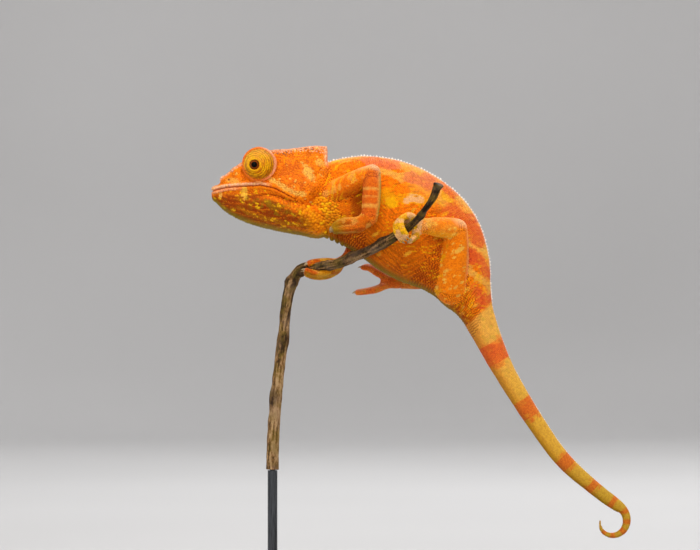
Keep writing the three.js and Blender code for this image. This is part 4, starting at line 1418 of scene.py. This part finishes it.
def scatter_tree():
    """Geometry Nodes that stand a shape on each point, with its direction, size and unwrap place."""
    tree, graph, given, result = socketed_group(
        SCATTER, "GeometryNodeTree",
        {"Geometry": ("NodeSocketGeometry", None), "Shape": ("NodeSocketObject", None),
         "Material": ("NodeSocketMaterial", None), "Patch Size": ("NodeSocketFloat", 0.003)},
        {"Geometry": "NodeSocketGeometry"})

    def named(name):
        node = graph.add("GeometryNodeInputNamedAttribute", {"Name": name}, data_type="FLOAT_VECTOR")
        return node.outputs["Attribute"]
    turn = graph.add("FunctionNodeAxesToRotation", {"Primary Axis": named("facing"),
                                                    "Secondary Axis": named("lie")},
                     primary_axis="Z", secondary_axis="X").outputs[0]
    shape = graph.add("GeometryNodeObjectInfo", {"Object": given.outputs["Shape"]})
    stood = graph.add("GeometryNodeInstanceOnPoints", {
        "Points": given.outputs["Geometry"], "Instance": shape.outputs["Geometry"], "Rotation": turn,
        "Scale": named("size")}).outputs[0]
    real = graph.add("GeometryNodeRealizeInstances", {"Geometry": stood}).outputs[0]
    half = graph.math("MULTIPLY", given.outputs["Patch Size"], 0.5)
    across = graph.add("ShaderNodeVectorMath", {0: named("local"), "Scale": half}, operation="SCALE")
    patch_place = graph.add("ShaderNodeVectorMath", {0: named("chart"), 1: across.outputs[0]},
                            operation="ADD").outputs[0]
    charted = graph.add("GeometryNodeStoreNamedAttribute", {
        "Geometry": real, "Name": "OFBake", "Value": patch_place},
        data_type="FLOAT2", domain="CORNER").outputs[0]
    for name in ("facing", "lie", "size", "local", "chart"):
        charted = graph.add("GeometryNodeRemoveAttribute", {"Geometry": charted, "Name": name}).outputs[0]
    smooth = graph.add("GeometryNodeSetShadeSmooth", {"Geometry": charted}).outputs[0]
    painted = graph.add("GeometryNodeSetMaterial", {
        "Geometry": smooth, "Material": given.outputs["Material"]}).outputs[0]
    tree.links.new(painted, result.inputs["Geometry"])
    return tree


def stand_on(name, shape, material, roots):
    """One joined piece with the shape on every root: places, directions, sizes, charts and marks."""
    piece = new_piece(name, roots["at"], [], smooth=False)
    mesh = piece.data
    store(mesh, "facing", "FLOAT_VECTOR", roots["facing"])
    store(mesh, "lie", "FLOAT_VECTOR", roots["lie"])
    store(mesh, "size", "FLOAT_VECTOR", roots["size"] * MM)
    store(mesh, "chart", "FLOAT_VECTOR", np.hstack([roots["chart"], np.zeros((len(roots["chart"]), 1))]))
    write_marks(mesh, roots["marks"])
    tree = bpy.data.node_groups.get(SCATTER) or scatter_tree()
    modifier = piece.modifiers.new("Shapes", "NODES")
    modifier.node_group = tree
    for item in tree.interface.items_tree:
        if item.item_type == "SOCKET" and item.in_out == "INPUT" and item.name in ("Shape", "Material"):
            modifier[item.identifier] = {"Shape": shape, "Material": material}[item.name]
    final_mesh(piece)
    return piece


def rooted(spot, facing, size):
    """Everything that stand_on needs at each place."""
    marks = markings(spot)
    marks[:, CHANCE] = np.random.default_rng(SEED).random(len(marks))
    return {"at": spot["at"], "facing": facing, "lie": lie_of(spot), "size": size, "chart": chart_of(spot),
            "marks": marks}


def scale_roots(hide, sizes):
    """Every scale's root, in rows where the animal's scales stand in rows and at random elsewhere."""
    trunk = sizes.body_scale / MM
    spot = locate(hide.points)
    spacing = scale_spacing(spot, trunk)
    rings, ring_normals, _ = hide.nearest(turret_lattice(), 1.5)
    lattice, lattice_normals, _ = hide.nearest(lattice_places(trunk, sizes.coat_depth / MM), 0.55)
    large = patch(spot["at"], *GULAR) > 0.1
    groin = patch(spot["at"], 5, 157, 11, 13) > 0.1
    by_rows = (spot["part"] == ON_TRUNK) & ~large & ~groin
    crowding = np.where(by_rows | (spot["part"] >= FIRST_LIMB), 4.0, 9.0)
    filler, filler_normals = hide.random(spacing, crowding, SEED)
    at = np.vstack([rings, lattice, filler])
    facing = np.vstack([ring_normals, lattice_normals, filler_normals])
    order = np.arange(len(at)) - len(rings)
    is_lattice = (order >= 0) & (order < len(lattice))
    spot = locate(at)
    part = spot["part"]
    opening = is_head(part) & ((gap_to(at, MOUTH) < 0.42) | (in_view(at, *NOSTRIL) < 0.65))
    opening |= (part == ON_TURRET) & (pupil_gap(at) < 2.4)
    off_lattice = is_head(part) | (part == ON_TURRET) | (patch(at, *GULAR) > 0.25)
    fits = ~opening & ~(is_lattice & off_lattice)
    at, facing = at[fits], facing[fits]
    spot = picked(spot, fits)
    spacing = scale_spacing(spot, trunk)
    kept = thin_out(at, 0.84 * spacing)
    spot = picked(spot, kept)
    spacing = spacing[kept]
    draw = np.random.default_rng(SEED + 1)
    head, turret = is_head(spot["part"]), spot["part"] == ON_TURRET
    wide = spacing * draw.uniform(0.98, 1.14, len(kept)) * np.where(head, 1.14, 1.0)
    bead = patch(spot["at"], -50, 173, 10, 11) * (spot["part"] != ON_SKULL)
    long = wide * (1.06 + 0.1 * (spot["part"] == ON_TRUNK) + 0.15 * bead + 0.45 * turret)
    tall = wide * np.where(head, 0.22 + 0.12 * bead, np.where(turret, 0.16, 0.4 - 0.05 * bead))
    return rooted(spot, facing[kept], np.stack([long, wide, tall], 1)), spot


def scale_groups(spot):
    """Names and masks of the pieces that the scales are kept in."""
    part, at, station, stage = spot["part"], spot["at"], spot["station"], spot["stage"]
    left = at[:, 1] < 0
    trunk = (part == ON_TRUNK) & (station < TAIL_START)
    first_hind = PARTS.index("hind_left")
    fore, hind = (part >= FIRST_LIMB) & (part < first_hind), part >= first_hind
    foot = stage >= ANKLE
    return {
        "scales_trunk_left": trunk & left, "scales_trunk_right": trunk & ~left,
        "scales_tail": (part == ON_TRUNK) & (station >= TAIL_START),
        "scales_head": part == ON_SKULL, "scales_throat": part == ON_JAW,
        "scales_eyelids": part == ON_TURRET,
        "scales_fore_legs": fore & ~foot, "scales_hind_legs": hind & ~foot,
        "scales_fore_feet": fore & foot, "scales_hind_feet": hind & foot,
    }


# ---- Eyes, claws and crests ----
def make_eye(name, hand, material):
    """An eyeball with a low cornea, standing in the opening of its lid."""
    centre_y = hand * (EYE["y"] + EYE["depth"] - PUPIL["inset"])
    points, faces = ball((0, 0, 0), np.full(3, PUPIL["radius"]), 48, 32)
    outward_share = np.clip(points[:, 1] * hand / PUPIL["radius"], 0, 1)
    points[:, 1] += hand * 0.22 * smoothstep(0.72, 1.0, outward_share)
    piece = new_piece(name, points + [PUPIL["x"], centre_y, PUPIL["z"]], faces)
    outward(piece)
    piece.data.shade_smooth()
    piece.data.materials.append(material)
    return piece


def eye_material(colours):
    """A wet eye: a black pupil with a thin brown iris, drawn by the distance from its middle."""
    material, graph, shader = new_material("wet eye", Coat_Weight=0.06, Coat_Roughness=0.03,
                                           Specular_IOR_Level=0.03)
    coordinates = graph.add("ShaderNodeTexCoord").outputs["Object"]
    x, _, z = graph.add("ShaderNodeSeparateXYZ", {0: coordinates}).outputs
    squares = [graph.math("POWER", graph.math("SUBTRACT", value, PUPIL[axis] * MM), 2.0)
               for value, axis in ((x, "x"), (z, "z"))]
    reach = graph.math("POWER", graph.math("ADD", *squares), 0.5)
    wobble = graph.math("MULTIPLY", graph.noise(coordinates, 2600.0, 3.0), 0.0002)
    share = graph.math("MULTIPLY", graph.math("ADD", reach, wobble), 1 / (PUPIL["radius"] * MM))
    finish(graph, shader, graph.ramp(share, (0.0, colours.pupil), (0.6, colours.pupil), (0.7, colours.iris),
                                     (0.92, linear("5a2a12"))))
    return material


def claw_shape():
    """One curved claw a unit long, pointing along X and bending down, round at its root."""
    sections, sides = 6, 7
    points = []
    for r in range(sections):
        share = r / (sections - 1)
        radius = 0.26 * (1 - share) ** 0.8 + 0.015
        for s in range(sides):
            turn = 2 * math.pi * s / sides
            height = radius * 1.15 * math.sin(turn) + 0.1 * math.sin(math.pi * share) - 0.3 * share ** 2
            points.append([share, radius * math.cos(turn), height])
    tip = (sections - 1) * sides
    faces = [*band_faces(sections, sides), tuple(reversed(range(sides))), tuple(range(tip, tip + sides))]
    shape = new_piece("claw shape", np.array(points) / MM, faces)
    outward(shape)
    store_local(shape)
    return shape


def claw_roots(long):
    """Where each toe's claw stands: just inside the toe's round tip, along its last stretch."""
    at, facing, lie = [], [], []
    for parts in LIMBS.values():
        palm = np.array(parts["joints"][3][:3], float)
        for bundle in ("outer", "inner"):
            path, across, shifts = toes_of(parts, bundle)
            before, tip = path[-2:]
            heading = (tip - before) / np.linalg.norm(tip - before)
            upward = np.cross(heading, across)
            if (tip - palm) @ upward < 0:
                upward = -upward
            inner = -upward if bundle == "inner" else upward
            for shift in shifts:
                at.append(tip + shift + heading * TOE["tip"] * 0.55 + inner * 0.15)
                facing.append(inner)
                lie.append(heading)
    n = len(at)
    at, facing, lie = np.array(at), np.array(facing), np.array(lie)
    return {"at": at, "facing": facing, "lie": lie, "size": np.full((n, 3), long),
            "chart": np.stack([np.arange(n) / n, np.full(n, 0.5)], 1), "marks": np.zeros((n, len(MARKS)))}


def spread_along(points, pitch):
    """Places at an even pitch along a line of points, and the direction there."""
    points = np.array(points, float)
    length = walked(points)
    marks = np.arange(0, length[-1], pitch)
    at, ahead = (np.stack([np.interp(place, length, values) for values in points.T], 1)
                 for place in (marks, marks + 0.2))
    return at, ahead - at


def ridge_roots(hide, line, pitch, size, draw, lift=(0, 0, 1), wander=0.15):
    """Roots for a row of crest scales that stand on the skin along a line."""
    at, heading = spread_along(line, pitch)
    at = at + draw.normal(0, wander, at.shape)
    place, normals, kept = hide.nearest(at, 3.0)
    facing = unit(normals + np.array(lift, float))
    sizes = np.array(size)[None] * draw.uniform(0.8, 1.2, (len(place), 1))
    roots = rooted(locate(place), facing, sizes)
    roots["lie"] = heading[kept] + 1e-4
    return roots


def merged_roots(groups):
    return {key: np.vstack([g[key] for g in groups]) for key in groups[0]}


def back_line(first, last, count, share=1.0):
    """A line along the body at a share of its height: 1 is the back and -1 the belly."""
    row = reading(TRUNK, np.linspace(first, last, count))
    return row[:, :3] + row[:, 3:6] * share


def crest_groups(hide):
    """The small cones of the back, the belly line and throat, and the rough scales of the head."""
    draw = np.random.default_rng(SEED + 2)
    back = ridge_roots(hide, back_line(1.0, 11.5, 160), 1.4, (1.05, 0.85, 1.1), draw, wander=0.03)
    back["marks"][:, :CHANCE] = 0
    tail = ridge_roots(hide, back_line(11.5, 16, 120), 1.1, (0.7, 0.65, 0.6), draw, wander=0.03)
    chin = [[x, 0, bottom] for x, _, bottom, _, _ in JAW[1:]]
    belly, throat = (ridge_roots(hide, line, 1.2, (0.9, 0.75, 0.5), draw, (0, 0, -1), 0.06)
                     for line in (back_line(1.5, 12, 160, share=-1), chin))
    rows = []
    for hand in (-1, 1):
        for level, (inset, pitch) in enumerate(((0.0, 1.05), (0.9, 1.15), (1.9, 1.3))):
            width = 3.4 + 0.1 * level + 0.35 * inset
            line = [[x, hand * width, top - inset] for x, top, _, _, _ in SKULL[4:]]
            rows.append(ridge_roots(hide, line, pitch, (1.0, 0.92, 0.55 - 0.1 * level), draw,
                                    (0, 0.4 * hand, 0.6), 0.22))
        widths = (2.2, 3.0, 3.8, 4.6)
        snout = [[x, hand * width, top - 0.4] for (x, top, _, _, _), width in zip(SKULL[1:5], widths)]
        rows.append(ridge_roots(hide, snout, 1.1, (1.05, 0.95, 0.6), draw, (0, 0.3 * hand, 0.7), 0.2))
    rear = [[-46.6, y, z] for y, z in
            ((-5.0, 198), (-3.4, 201.5), (-1.5, 204), (1.5, 204), (3.4, 201.5), (5, 198))]
    rows.append(ridge_roots(hide, rear, 1.0, (0.9, 0.85, 0.4), draw, (0.5, 0, 0.3), 0.12))
    head = merged_roots(rows)
    marks = head["marks"]
    marks[:, PINK] = np.maximum(marks[:, PINK], 0.3 + 0.6 * draw.random(len(marks)))
    marks[:, DARK] *= draw.random(len(marks)) < 0.55
    return {"crest_back": merged_roots([back, tail]), "crest_belly": merged_roots([belly, throat]),
            "crest_head": head}


def lip_roots(hide):
    """The larger plates in one row above the mouth line and one below it, on both sides."""
    draw = np.random.default_rng(SEED + 3)
    rows = []
    line = np.array([[-97.6, 184.2], *MOUTH[1:]])
    for hand in (-1, 1):
        for offset, tall in ((0.95, 0.4), (-0.95, 0.36)):
            flat = line + [0, offset]
            wide = column(SKULL, flat[:, 0], 3) + 1
            path = np.stack([flat[:, 0], hand * wide, flat[:, 1]], 1)
            rows.append(ridge_roots(hide, path, 1.3, (1.42, 1.15, tall), draw, (0, 0, 0), 0.03))
    return merged_roots(rows)


# ---- Twig ----
# The knots on the twig: section, turn round it and height.
KNOTS = [(0.12, 0.5, 0.5), (2.2, 1.2, 0.45), (4.6, 4.2, 0.6), (6.3, 5.0, 0.7), (7.5, 0.8, 0.55),
         (9.2, 2.2, 0.7), (10.1, 4.6, 0.75), (12.2, 1.5, 0.6), (13.4, 3.7, 0.65)]


def twig_mesh(name):
    """A bark-covered twig: ridges, knots where leaves stood, a broken tip and a sawn foot."""
    sections = along_path(TWIG, (0.3, 1, 0))
    rings, sides = 420, 44
    places = np.linspace(0, len(TWIG) - 1, rings)
    angles = np.arange(sides) * (2 * math.pi / sides)
    place, angle = (a.ravel() for a in np.meshgrid(places, angles, indexing="ij"))
    points = on_surface(sections, place, angle)
    row = reading(sections, place)
    out = points - row[:, :3]
    length = np.repeat(walked(reading(sections, places)[:, :3]), sides)
    grain = np.stack([np.cos(angle) * 2.2, np.sin(angle) * 2.2, length / 9], 1)
    ridge = noise(grain, 0.55, 101) - 0.5
    lump = noise(np.stack([np.cos(angle), np.sin(angle), length / 5], 1) * 2, 1.6, 102) - 0.5
    rise = 0.32 * ridge + 0.35 * lump + 0.1 * (noise(points, 0.8, 103) - 0.5)
    for station, turn, tall in KNOTS:
        past = (place - station) * 9
        away = np.hypot(past / 1.6, 0.8 * ((angle - turn + math.pi) % (2 * math.pi) - math.pi) * 2)
        rise += tall * fall(0.2, 2.2, away) - 0.35 * tall * fall(0, 0.6, away)
        rise += 0.18 * bump(past, 1.6)
    points = points + unit(out) * rise[:, None]
    knot = np.clip(rise / 0.5, 0, 1)
    faces = band_faces(rings, sides)
    count = len(points)
    ends = []
    # Each end is closed by an inner ring and a middle point: the tip is broken and the foot is sawn.
    for end, (start, step) in enumerate(((0, 0.25), (count - sides, 0.0))):
        ring = points[start:start + sides]
        middle = ring.mean(0)
        ends += [middle + (ring - middle) * 0.55, middle[None] + [[0, 0, step]]]
        inner = count + end * (sides + 1)
        for s in range(sides):
            t = (s + 1) % sides
            faces.append((start + s, start + t, inner + t, inner + s))
            faces.append((inner + s, inner + t, inner + sides))
    points = np.vstack([points, *ends])
    piece = new_piece(name, points, faces)
    outward(piece)
    piece.data.shade_smooth()
    added = len(points) - count
    for label, values, at_ends in (("knot", knot, 0.3), ("ridge", ridge + 0.5, 0.3),
                                   ("length", length, length[0])):
        store(piece.data, label, "FLOAT", np.concatenate([values, np.full(added, at_ends)]))
    return piece


def bark_material(colours):
    """Dark and flecked toward the tip, paler toward the cut, with moss and dark knots; the run along the
    twig is partly painted shade and light.
    """
    material, graph, shader = new_material("bark", Specular_IOR_Level=0.15)
    place = graph.place()
    ridge = graph.attribute("ridge")
    knot = graph.attribute("knot")
    blotch = graph.noise(place, 210.0, 4.0, 0.6)
    fleck = graph.noise(graph.place((1, 1, 0.45)), 1500.0, 3.0, 0.6)
    # Raised ridges lighter and furrows darker: partly the bark's own wear, partly painted shade in the
    # furrows.
    tone = graph.math("MULTIPLY_ADD", ridge, 0.6, graph.math("MULTIPLY_ADD", fleck, 0.7, -0.12))
    # Darker toward the tip and paler toward the cut: partly the bark's own tone, partly painted shade
    # toward the tip and painted light on the upright lower length.
    run = graph.attribute("length")
    share = graph.math("MULTIPLY", run, 1 / TWIG_LENGTH, clamp=True)
    tone_and_light_along = graph.ramp(share, (0.0, 0.0), (0.3, 0.5), (0.6, 0.5), (0.8, 0.9))
    tone = graph.math("ADD", tone, graph.math("MULTIPLY_ADD", tone_and_light_along, 0.42, -0.2))
    colour = graph.ramp(tone, (0.3, linear("1e1208")), (0.5, colours.bark), (0.66, colours.bark_light),
                        (0.82, linear("b8966a")))
    moss = graph.ramp(blotch, (0.45, 0.0), (0.62, 1.0))
    colour = graph.mix(graph.math("MULTIPLY", moss, 0.5), colour, rgba(linear("786222")))
    pale = graph.ramp(graph.noise(place, 90.0, 2.0), (0.5, 0.0), (0.66, 1.0))
    colour = graph.mix(graph.math("MULTIPLY", pale, 0.2), colour, rgba(linear("b0917c")))
    colour = graph.mix(graph.math("MULTIPLY", knot, 0.6), colour, rgba(linear("2a1a10")))
    height = graph.math("ADD", fleck, graph.math("MULTIPLY", ridge, 0.6))
    finish(graph, shader, colour, graph.math("MULTIPLY_ADD", fleck, 0.25, 0.62), height, 0.8, 0.0003)
    return material


# ---- Stand ----
def wood_material(colours):
    """Oiled dark wood with long grain and short pores."""
    material, graph, shader = new_material("oiled walnut", Coat_Weight=0.25, Coat_Roughness=0.25)
    rings = graph.noise(graph.place((1.0, 16.0, 16.0)), 9.0, 5.0, 0.6, 1.4)
    pores = graph.noise(graph.place((0.06, 1, 1)), 2400.0, 3.0, 0.7)
    tone = graph.math("MULTIPLY_ADD", rings, 0.6, graph.math("MULTIPLY", pores, 0.4))
    colour = graph.ramp(tone, (0.3, linear("24140b")), (0.52, colours.wood), (0.72, linear("6b4a2e")))
    finish(graph, shader, colour, graph.math("MULTIPLY_ADD", pores, 0.25, 0.32), tone, 0.25, 0.0003)
    return material


def metal_material(colours):
    """Brushed steel, blackened."""
    material, graph, shader = new_material("blackened steel", Metallic=0.9)
    brushed = graph.noise(graph.place((1, 1, 0.02)), 6000.0, 2.0, 0.6)
    colour = graph.ramp(brushed, (0.3, colours.steel), (0.8, linear("6a6d72")))
    finish(graph, shader, colour, graph.math("MULTIPLY_ADD", brushed, 0.2, 0.26), brushed, 0.15)
    return material


def assign(piece, material):
    """Gives a piece one material and no other."""
    piece.data.materials.clear()
    piece.data.materials.append(material)


def settings():
    """The sizes and colours that the panel shows."""
    return bpy.context.scene.chameleon_sizes, bpy.context.scene.chameleon_colours


def keep(piece, slot, *nodes):
    """Attaches a finished piece to the root, and hides the nodes that it stands in for."""
    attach(piece, "root")
    if nodes:
        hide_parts(*nodes)


FLESH = [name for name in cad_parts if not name.startswith(("stand_", "twig_", "eyeball_"))]


# ---- Operators ----
class ChameleonOperator(bpy.types.Operator):
    bl_options = {"REGISTER", "UNDO"}


class BuildSkin(ChameleonOperator):
    """Join every length of the animal into one skin with its folds and markings"""
    bl_idname = "chameleon.build_skin"
    bl_label = "Skin"

    def execute(self, context):
        sizes, colours = settings()
        skin = make_skin(sizes)
        assign(skin, hide_material("hide", marking_group(colours), 0.3, 0.42))
        keep(skin, "skin", *FLESH)
        return {"FINISHED"}


class BuildScales(ChameleonOperator):
    """Cover the skin with scales, smallest on the face and the feet"""
    bl_idname = "chameleon.build_scales"
    bl_label = "Scales"

    def execute(self, context):
        sizes, colours = settings()
        hide = Hide(bpy.data.objects["skin"])
        material = hide_material("scales", bpy.data.node_groups[MARKING_GROUP], 0.0, 0.36)
        dome = dome_shape("scale shape", [(0.6, -0.45), (0.36, 0.85)])
        roots, spot = scale_roots(hide, sizes)
        for name, mask in scale_groups(spot).items():
            keep(stand_on(name, dome, material, picked(roots, mask)),
                 "limb_skin" if "leg" in name or "feet" in name else "skin")
        plate = dome_shape("lip shape", [(0.54, -0.5), (0.5, 0.5), (0.34, 0.95)], 8)
        keep(stand_on("lip_scales", plate, material, lip_roots(hide)), "skin")
        cone = dome_shape("cone shape", [(0.5, -0.5), (0.5, 0.15), (0.3, 0.72)], 8)
        beads = bead_material(colours)
        for name, found in crest_groups(hide).items():
            keep(stand_on(name, cone, beads if name == "crest_back" else material, found), "skin")
        for shape in (dome, plate, cone):
            bpy.data.objects.remove(shape)
        return {"FINISHED"}


class BuildEyes(ChameleonOperator):
    """Set an eyeball into the opening of each lid"""
    bl_idname = "chameleon.build_eyes"
    bl_label = "Eyes"

    def execute(self, context):
        _, colours = settings()
        material = eye_material(colours)
        for side, hand in (("left", -1), ("right", 1)):
            keep(make_eye(f"eye_{side}", hand, material), "eyeball", f"eyeball_{side}")
        return {"FINISHED"}


class BuildClaws(ChameleonOperator):
    """Stand a curved claw on each toe"""
    bl_idname = "chameleon.build_claws"
    bl_label = "Claws"

    def execute(self, context):
        sizes, colours = settings()
        material, graph, shader = new_material("horn", Specular_IOR_Level=0.5, Coat_Weight=0.2)
        streak = graph.noise(graph.place(), 1400.0, 2.0)
        horn = graph.ramp(streak, (0.3, colours.claw), (0.75, linear("b49a70")))
        finish(graph, shader, horn, graph.math("MULTIPLY_ADD", streak, 0.2, 0.25))
        shape = claw_shape()
        keep(stand_on("claws", shape, material, claw_roots(sizes.claw_length / MM)), "limb_skin")
        bpy.data.objects.remove(shape)
        return {"FINISHED"}


class BuildTwig(ChameleonOperator):
    """Grow the bark-covered twig that the feet hold"""
    bl_idname = "chameleon.build_twig"
    bl_label = "Twig"

    def execute(self, context):
        _, colours = settings()
        twig = twig_mesh("twig")
        assign(twig, bark_material(colours))
        keep(twig, "bark", "twig_perch")
        return {"FINISHED"}


class FinishStand(ChameleonOperator):
    """Give the stand's base its wood and the rod its steel"""
    bl_idname = "chameleon.finish_stand"
    bl_label = "Stand"

    def execute(self, context):
        _, colours = settings()
        assign(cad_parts["stand_base"], wood_material(colours))
        assign(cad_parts["stand_rod"], metal_material(colours))
        return {"FINISHED"}


def soft_light(name, place, target, size, power, tint=(1, 1, 1)):
    """A rectangle of light, turned to face its target."""
    light = bpy.data.lights.new(name, "AREA")
    light.shape = "RECTANGLE"
    light.size, light.size_y = size
    light.energy = power
    light.color = tint
    lamp = bpy.data.objects.new(name, light)
    lamp.location = place
    lamp.rotation_euler = (Vector(target) - Vector(place)).to_track_quat("-Z", "Y").to_euler()
    bpy.context.scene.collection.objects.link(lamp)


# Where the lights point, and each light's name, place and size in metres, power and tint.
LIT_MIDDLE = (-0.03, 0, 0.16)
LIGHTS = [("sky", (-0.15, -0.6, 1.15), (0.7, 0.5), 8.5, (1, 0.98, 0.95)),
          ("front fill", (0.05, -1.4, 0.55), (0.7, 0.6), 6.2, (1, 0.97, 0.93)),
          ("rear edge", (0.35, 0.8, 1.0), (0.6, 0.4), 9, (0.98, 0.99, 1))]
# The camera looks level along Y. Its sensor and lens are in millimetres.
SENSOR_WIDTH, LENS = 36, 171.4
CAMERA_PLACE = (-0.036, -1.5, 0.14625)


class SetStage(ChameleonOperator):
    """Lay the pale floor with its raised rim, and place the lights and the camera"""
    bl_idname = "chameleon.set_stage"
    bl_label = "Stage"

    def execute(self, context):
        _, colours = settings()
        scene = context.scene
        # The floor's outline in millimetres: flat, then a round rise to an upright rim.
        bend = np.linspace(0, math.pi / 2, 12)
        profile = [(20, 0), *zip(1500 + 600 * np.sin(bend), 600 - 600 * np.cos(bend)), (2100, 2400)]
        sides = 96
        turn = np.arange(sides) * (2 * math.pi / sides)
        points = [[r * math.cos(t), r * math.sin(t), z] for r, z in profile for t in turn]
        floor = new_piece("floor", points, [*band_faces(len(profile), sides), tuple(range(sides))])
        material, graph, shader = new_material("pale paper", Roughness=0.9)
        tone = graph.noise(graph.place(), 1.4, 2.0)
        finish(graph, shader, graph.ramp(tone, (0.3, colours.floor), (0.7, linear("bfbebe"))))
        assign(floor, material)
        world = bpy.data.worlds.new("soft room")
        world.use_nodes = True
        background = world.node_tree.nodes["Background"]
        background.inputs["Color"].default_value = rgba(linear("f2f2f5"))
        background.inputs["Strength"].default_value = 0.1
        scene.world = world
        for name, place, size, power, tint in LIGHTS:
            soft_light(name, place, LIT_MIDDLE, size, power, tint)
        for k in range(4):
            x, y = math.sin(k * math.pi / 2), -math.cos(k * math.pi / 2)
            soft_light(f"rim wash {k}", (0.8 * x, 0.8 * y, 1.5), (2.1 * x, 2.1 * y, 0.5), (0.9, 0.3), 9.5)
        camera = bpy.data.objects.new("camera", bpy.data.cameras.new("camera"))
        camera.data.sensor_width = SENSOR_WIDTH
        camera.data.lens = LENS
        camera.data.clip_start = 0.05
        camera.location = CAMERA_PLACE
        camera.rotation_euler = (math.pi / 2, 0, 0)
        scene.collection.objects.link(camera)
        scene.camera = camera
        scene.view_settings.view_transform = "Standard"
        return {"FINISHED"}


OPERATORS = [BuildSkin, BuildScales, BuildEyes, BuildClaws, BuildTwig, FinishStand, SetStage]


class ChameleonPanel(bpy.types.Panel):
    bl_label = "Chameleon"
    bl_idname = "VIEW3D_PT_chameleon"
    bl_space_type = "VIEW_3D"
    bl_region_type = "UI"
    bl_category = "Chameleon"

    def draw(self, context):
        for group in (context.scene.chameleon_sizes, context.scene.chameleon_colours):
            box = self.layout.box()
            for name in group.bl_rna.properties.keys():
                if name not in ("rna_type", "name"):
                    box.prop(group, name)
        for operator in OPERATORS:
            self.layout.operator(operator.bl_idname)


CLASSES = [ChameleonSizes, ChameleonColours, *OPERATORS, ChameleonPanel]


def register():
    for cls in CLASSES:
        bpy.utils.register_class(cls)
    bpy.types.Scene.chameleon_sizes = PointerProperty(type=ChameleonSizes)
    bpy.types.Scene.chameleon_colours = PointerProperty(type=ChameleonColours)


def unregister():
    del bpy.types.Scene.chameleon_colours
    del bpy.types.Scene.chameleon_sizes
    for cls in reversed(CLASSES):
        bpy.utils.unregister_class(cls)


def main():
    register()
    bpy.ops.chameleon.build_skin()
    bpy.ops.chameleon.build_scales()
    bpy.ops.chameleon.build_eyes()
    bpy.ops.chameleon.build_claws()
    bpy.ops.chameleon.build_twig()
    bpy.ops.chameleon.finish_stand()
    bpy.ops.chameleon.set_stage()


if __name__ == "__main__":
    main()
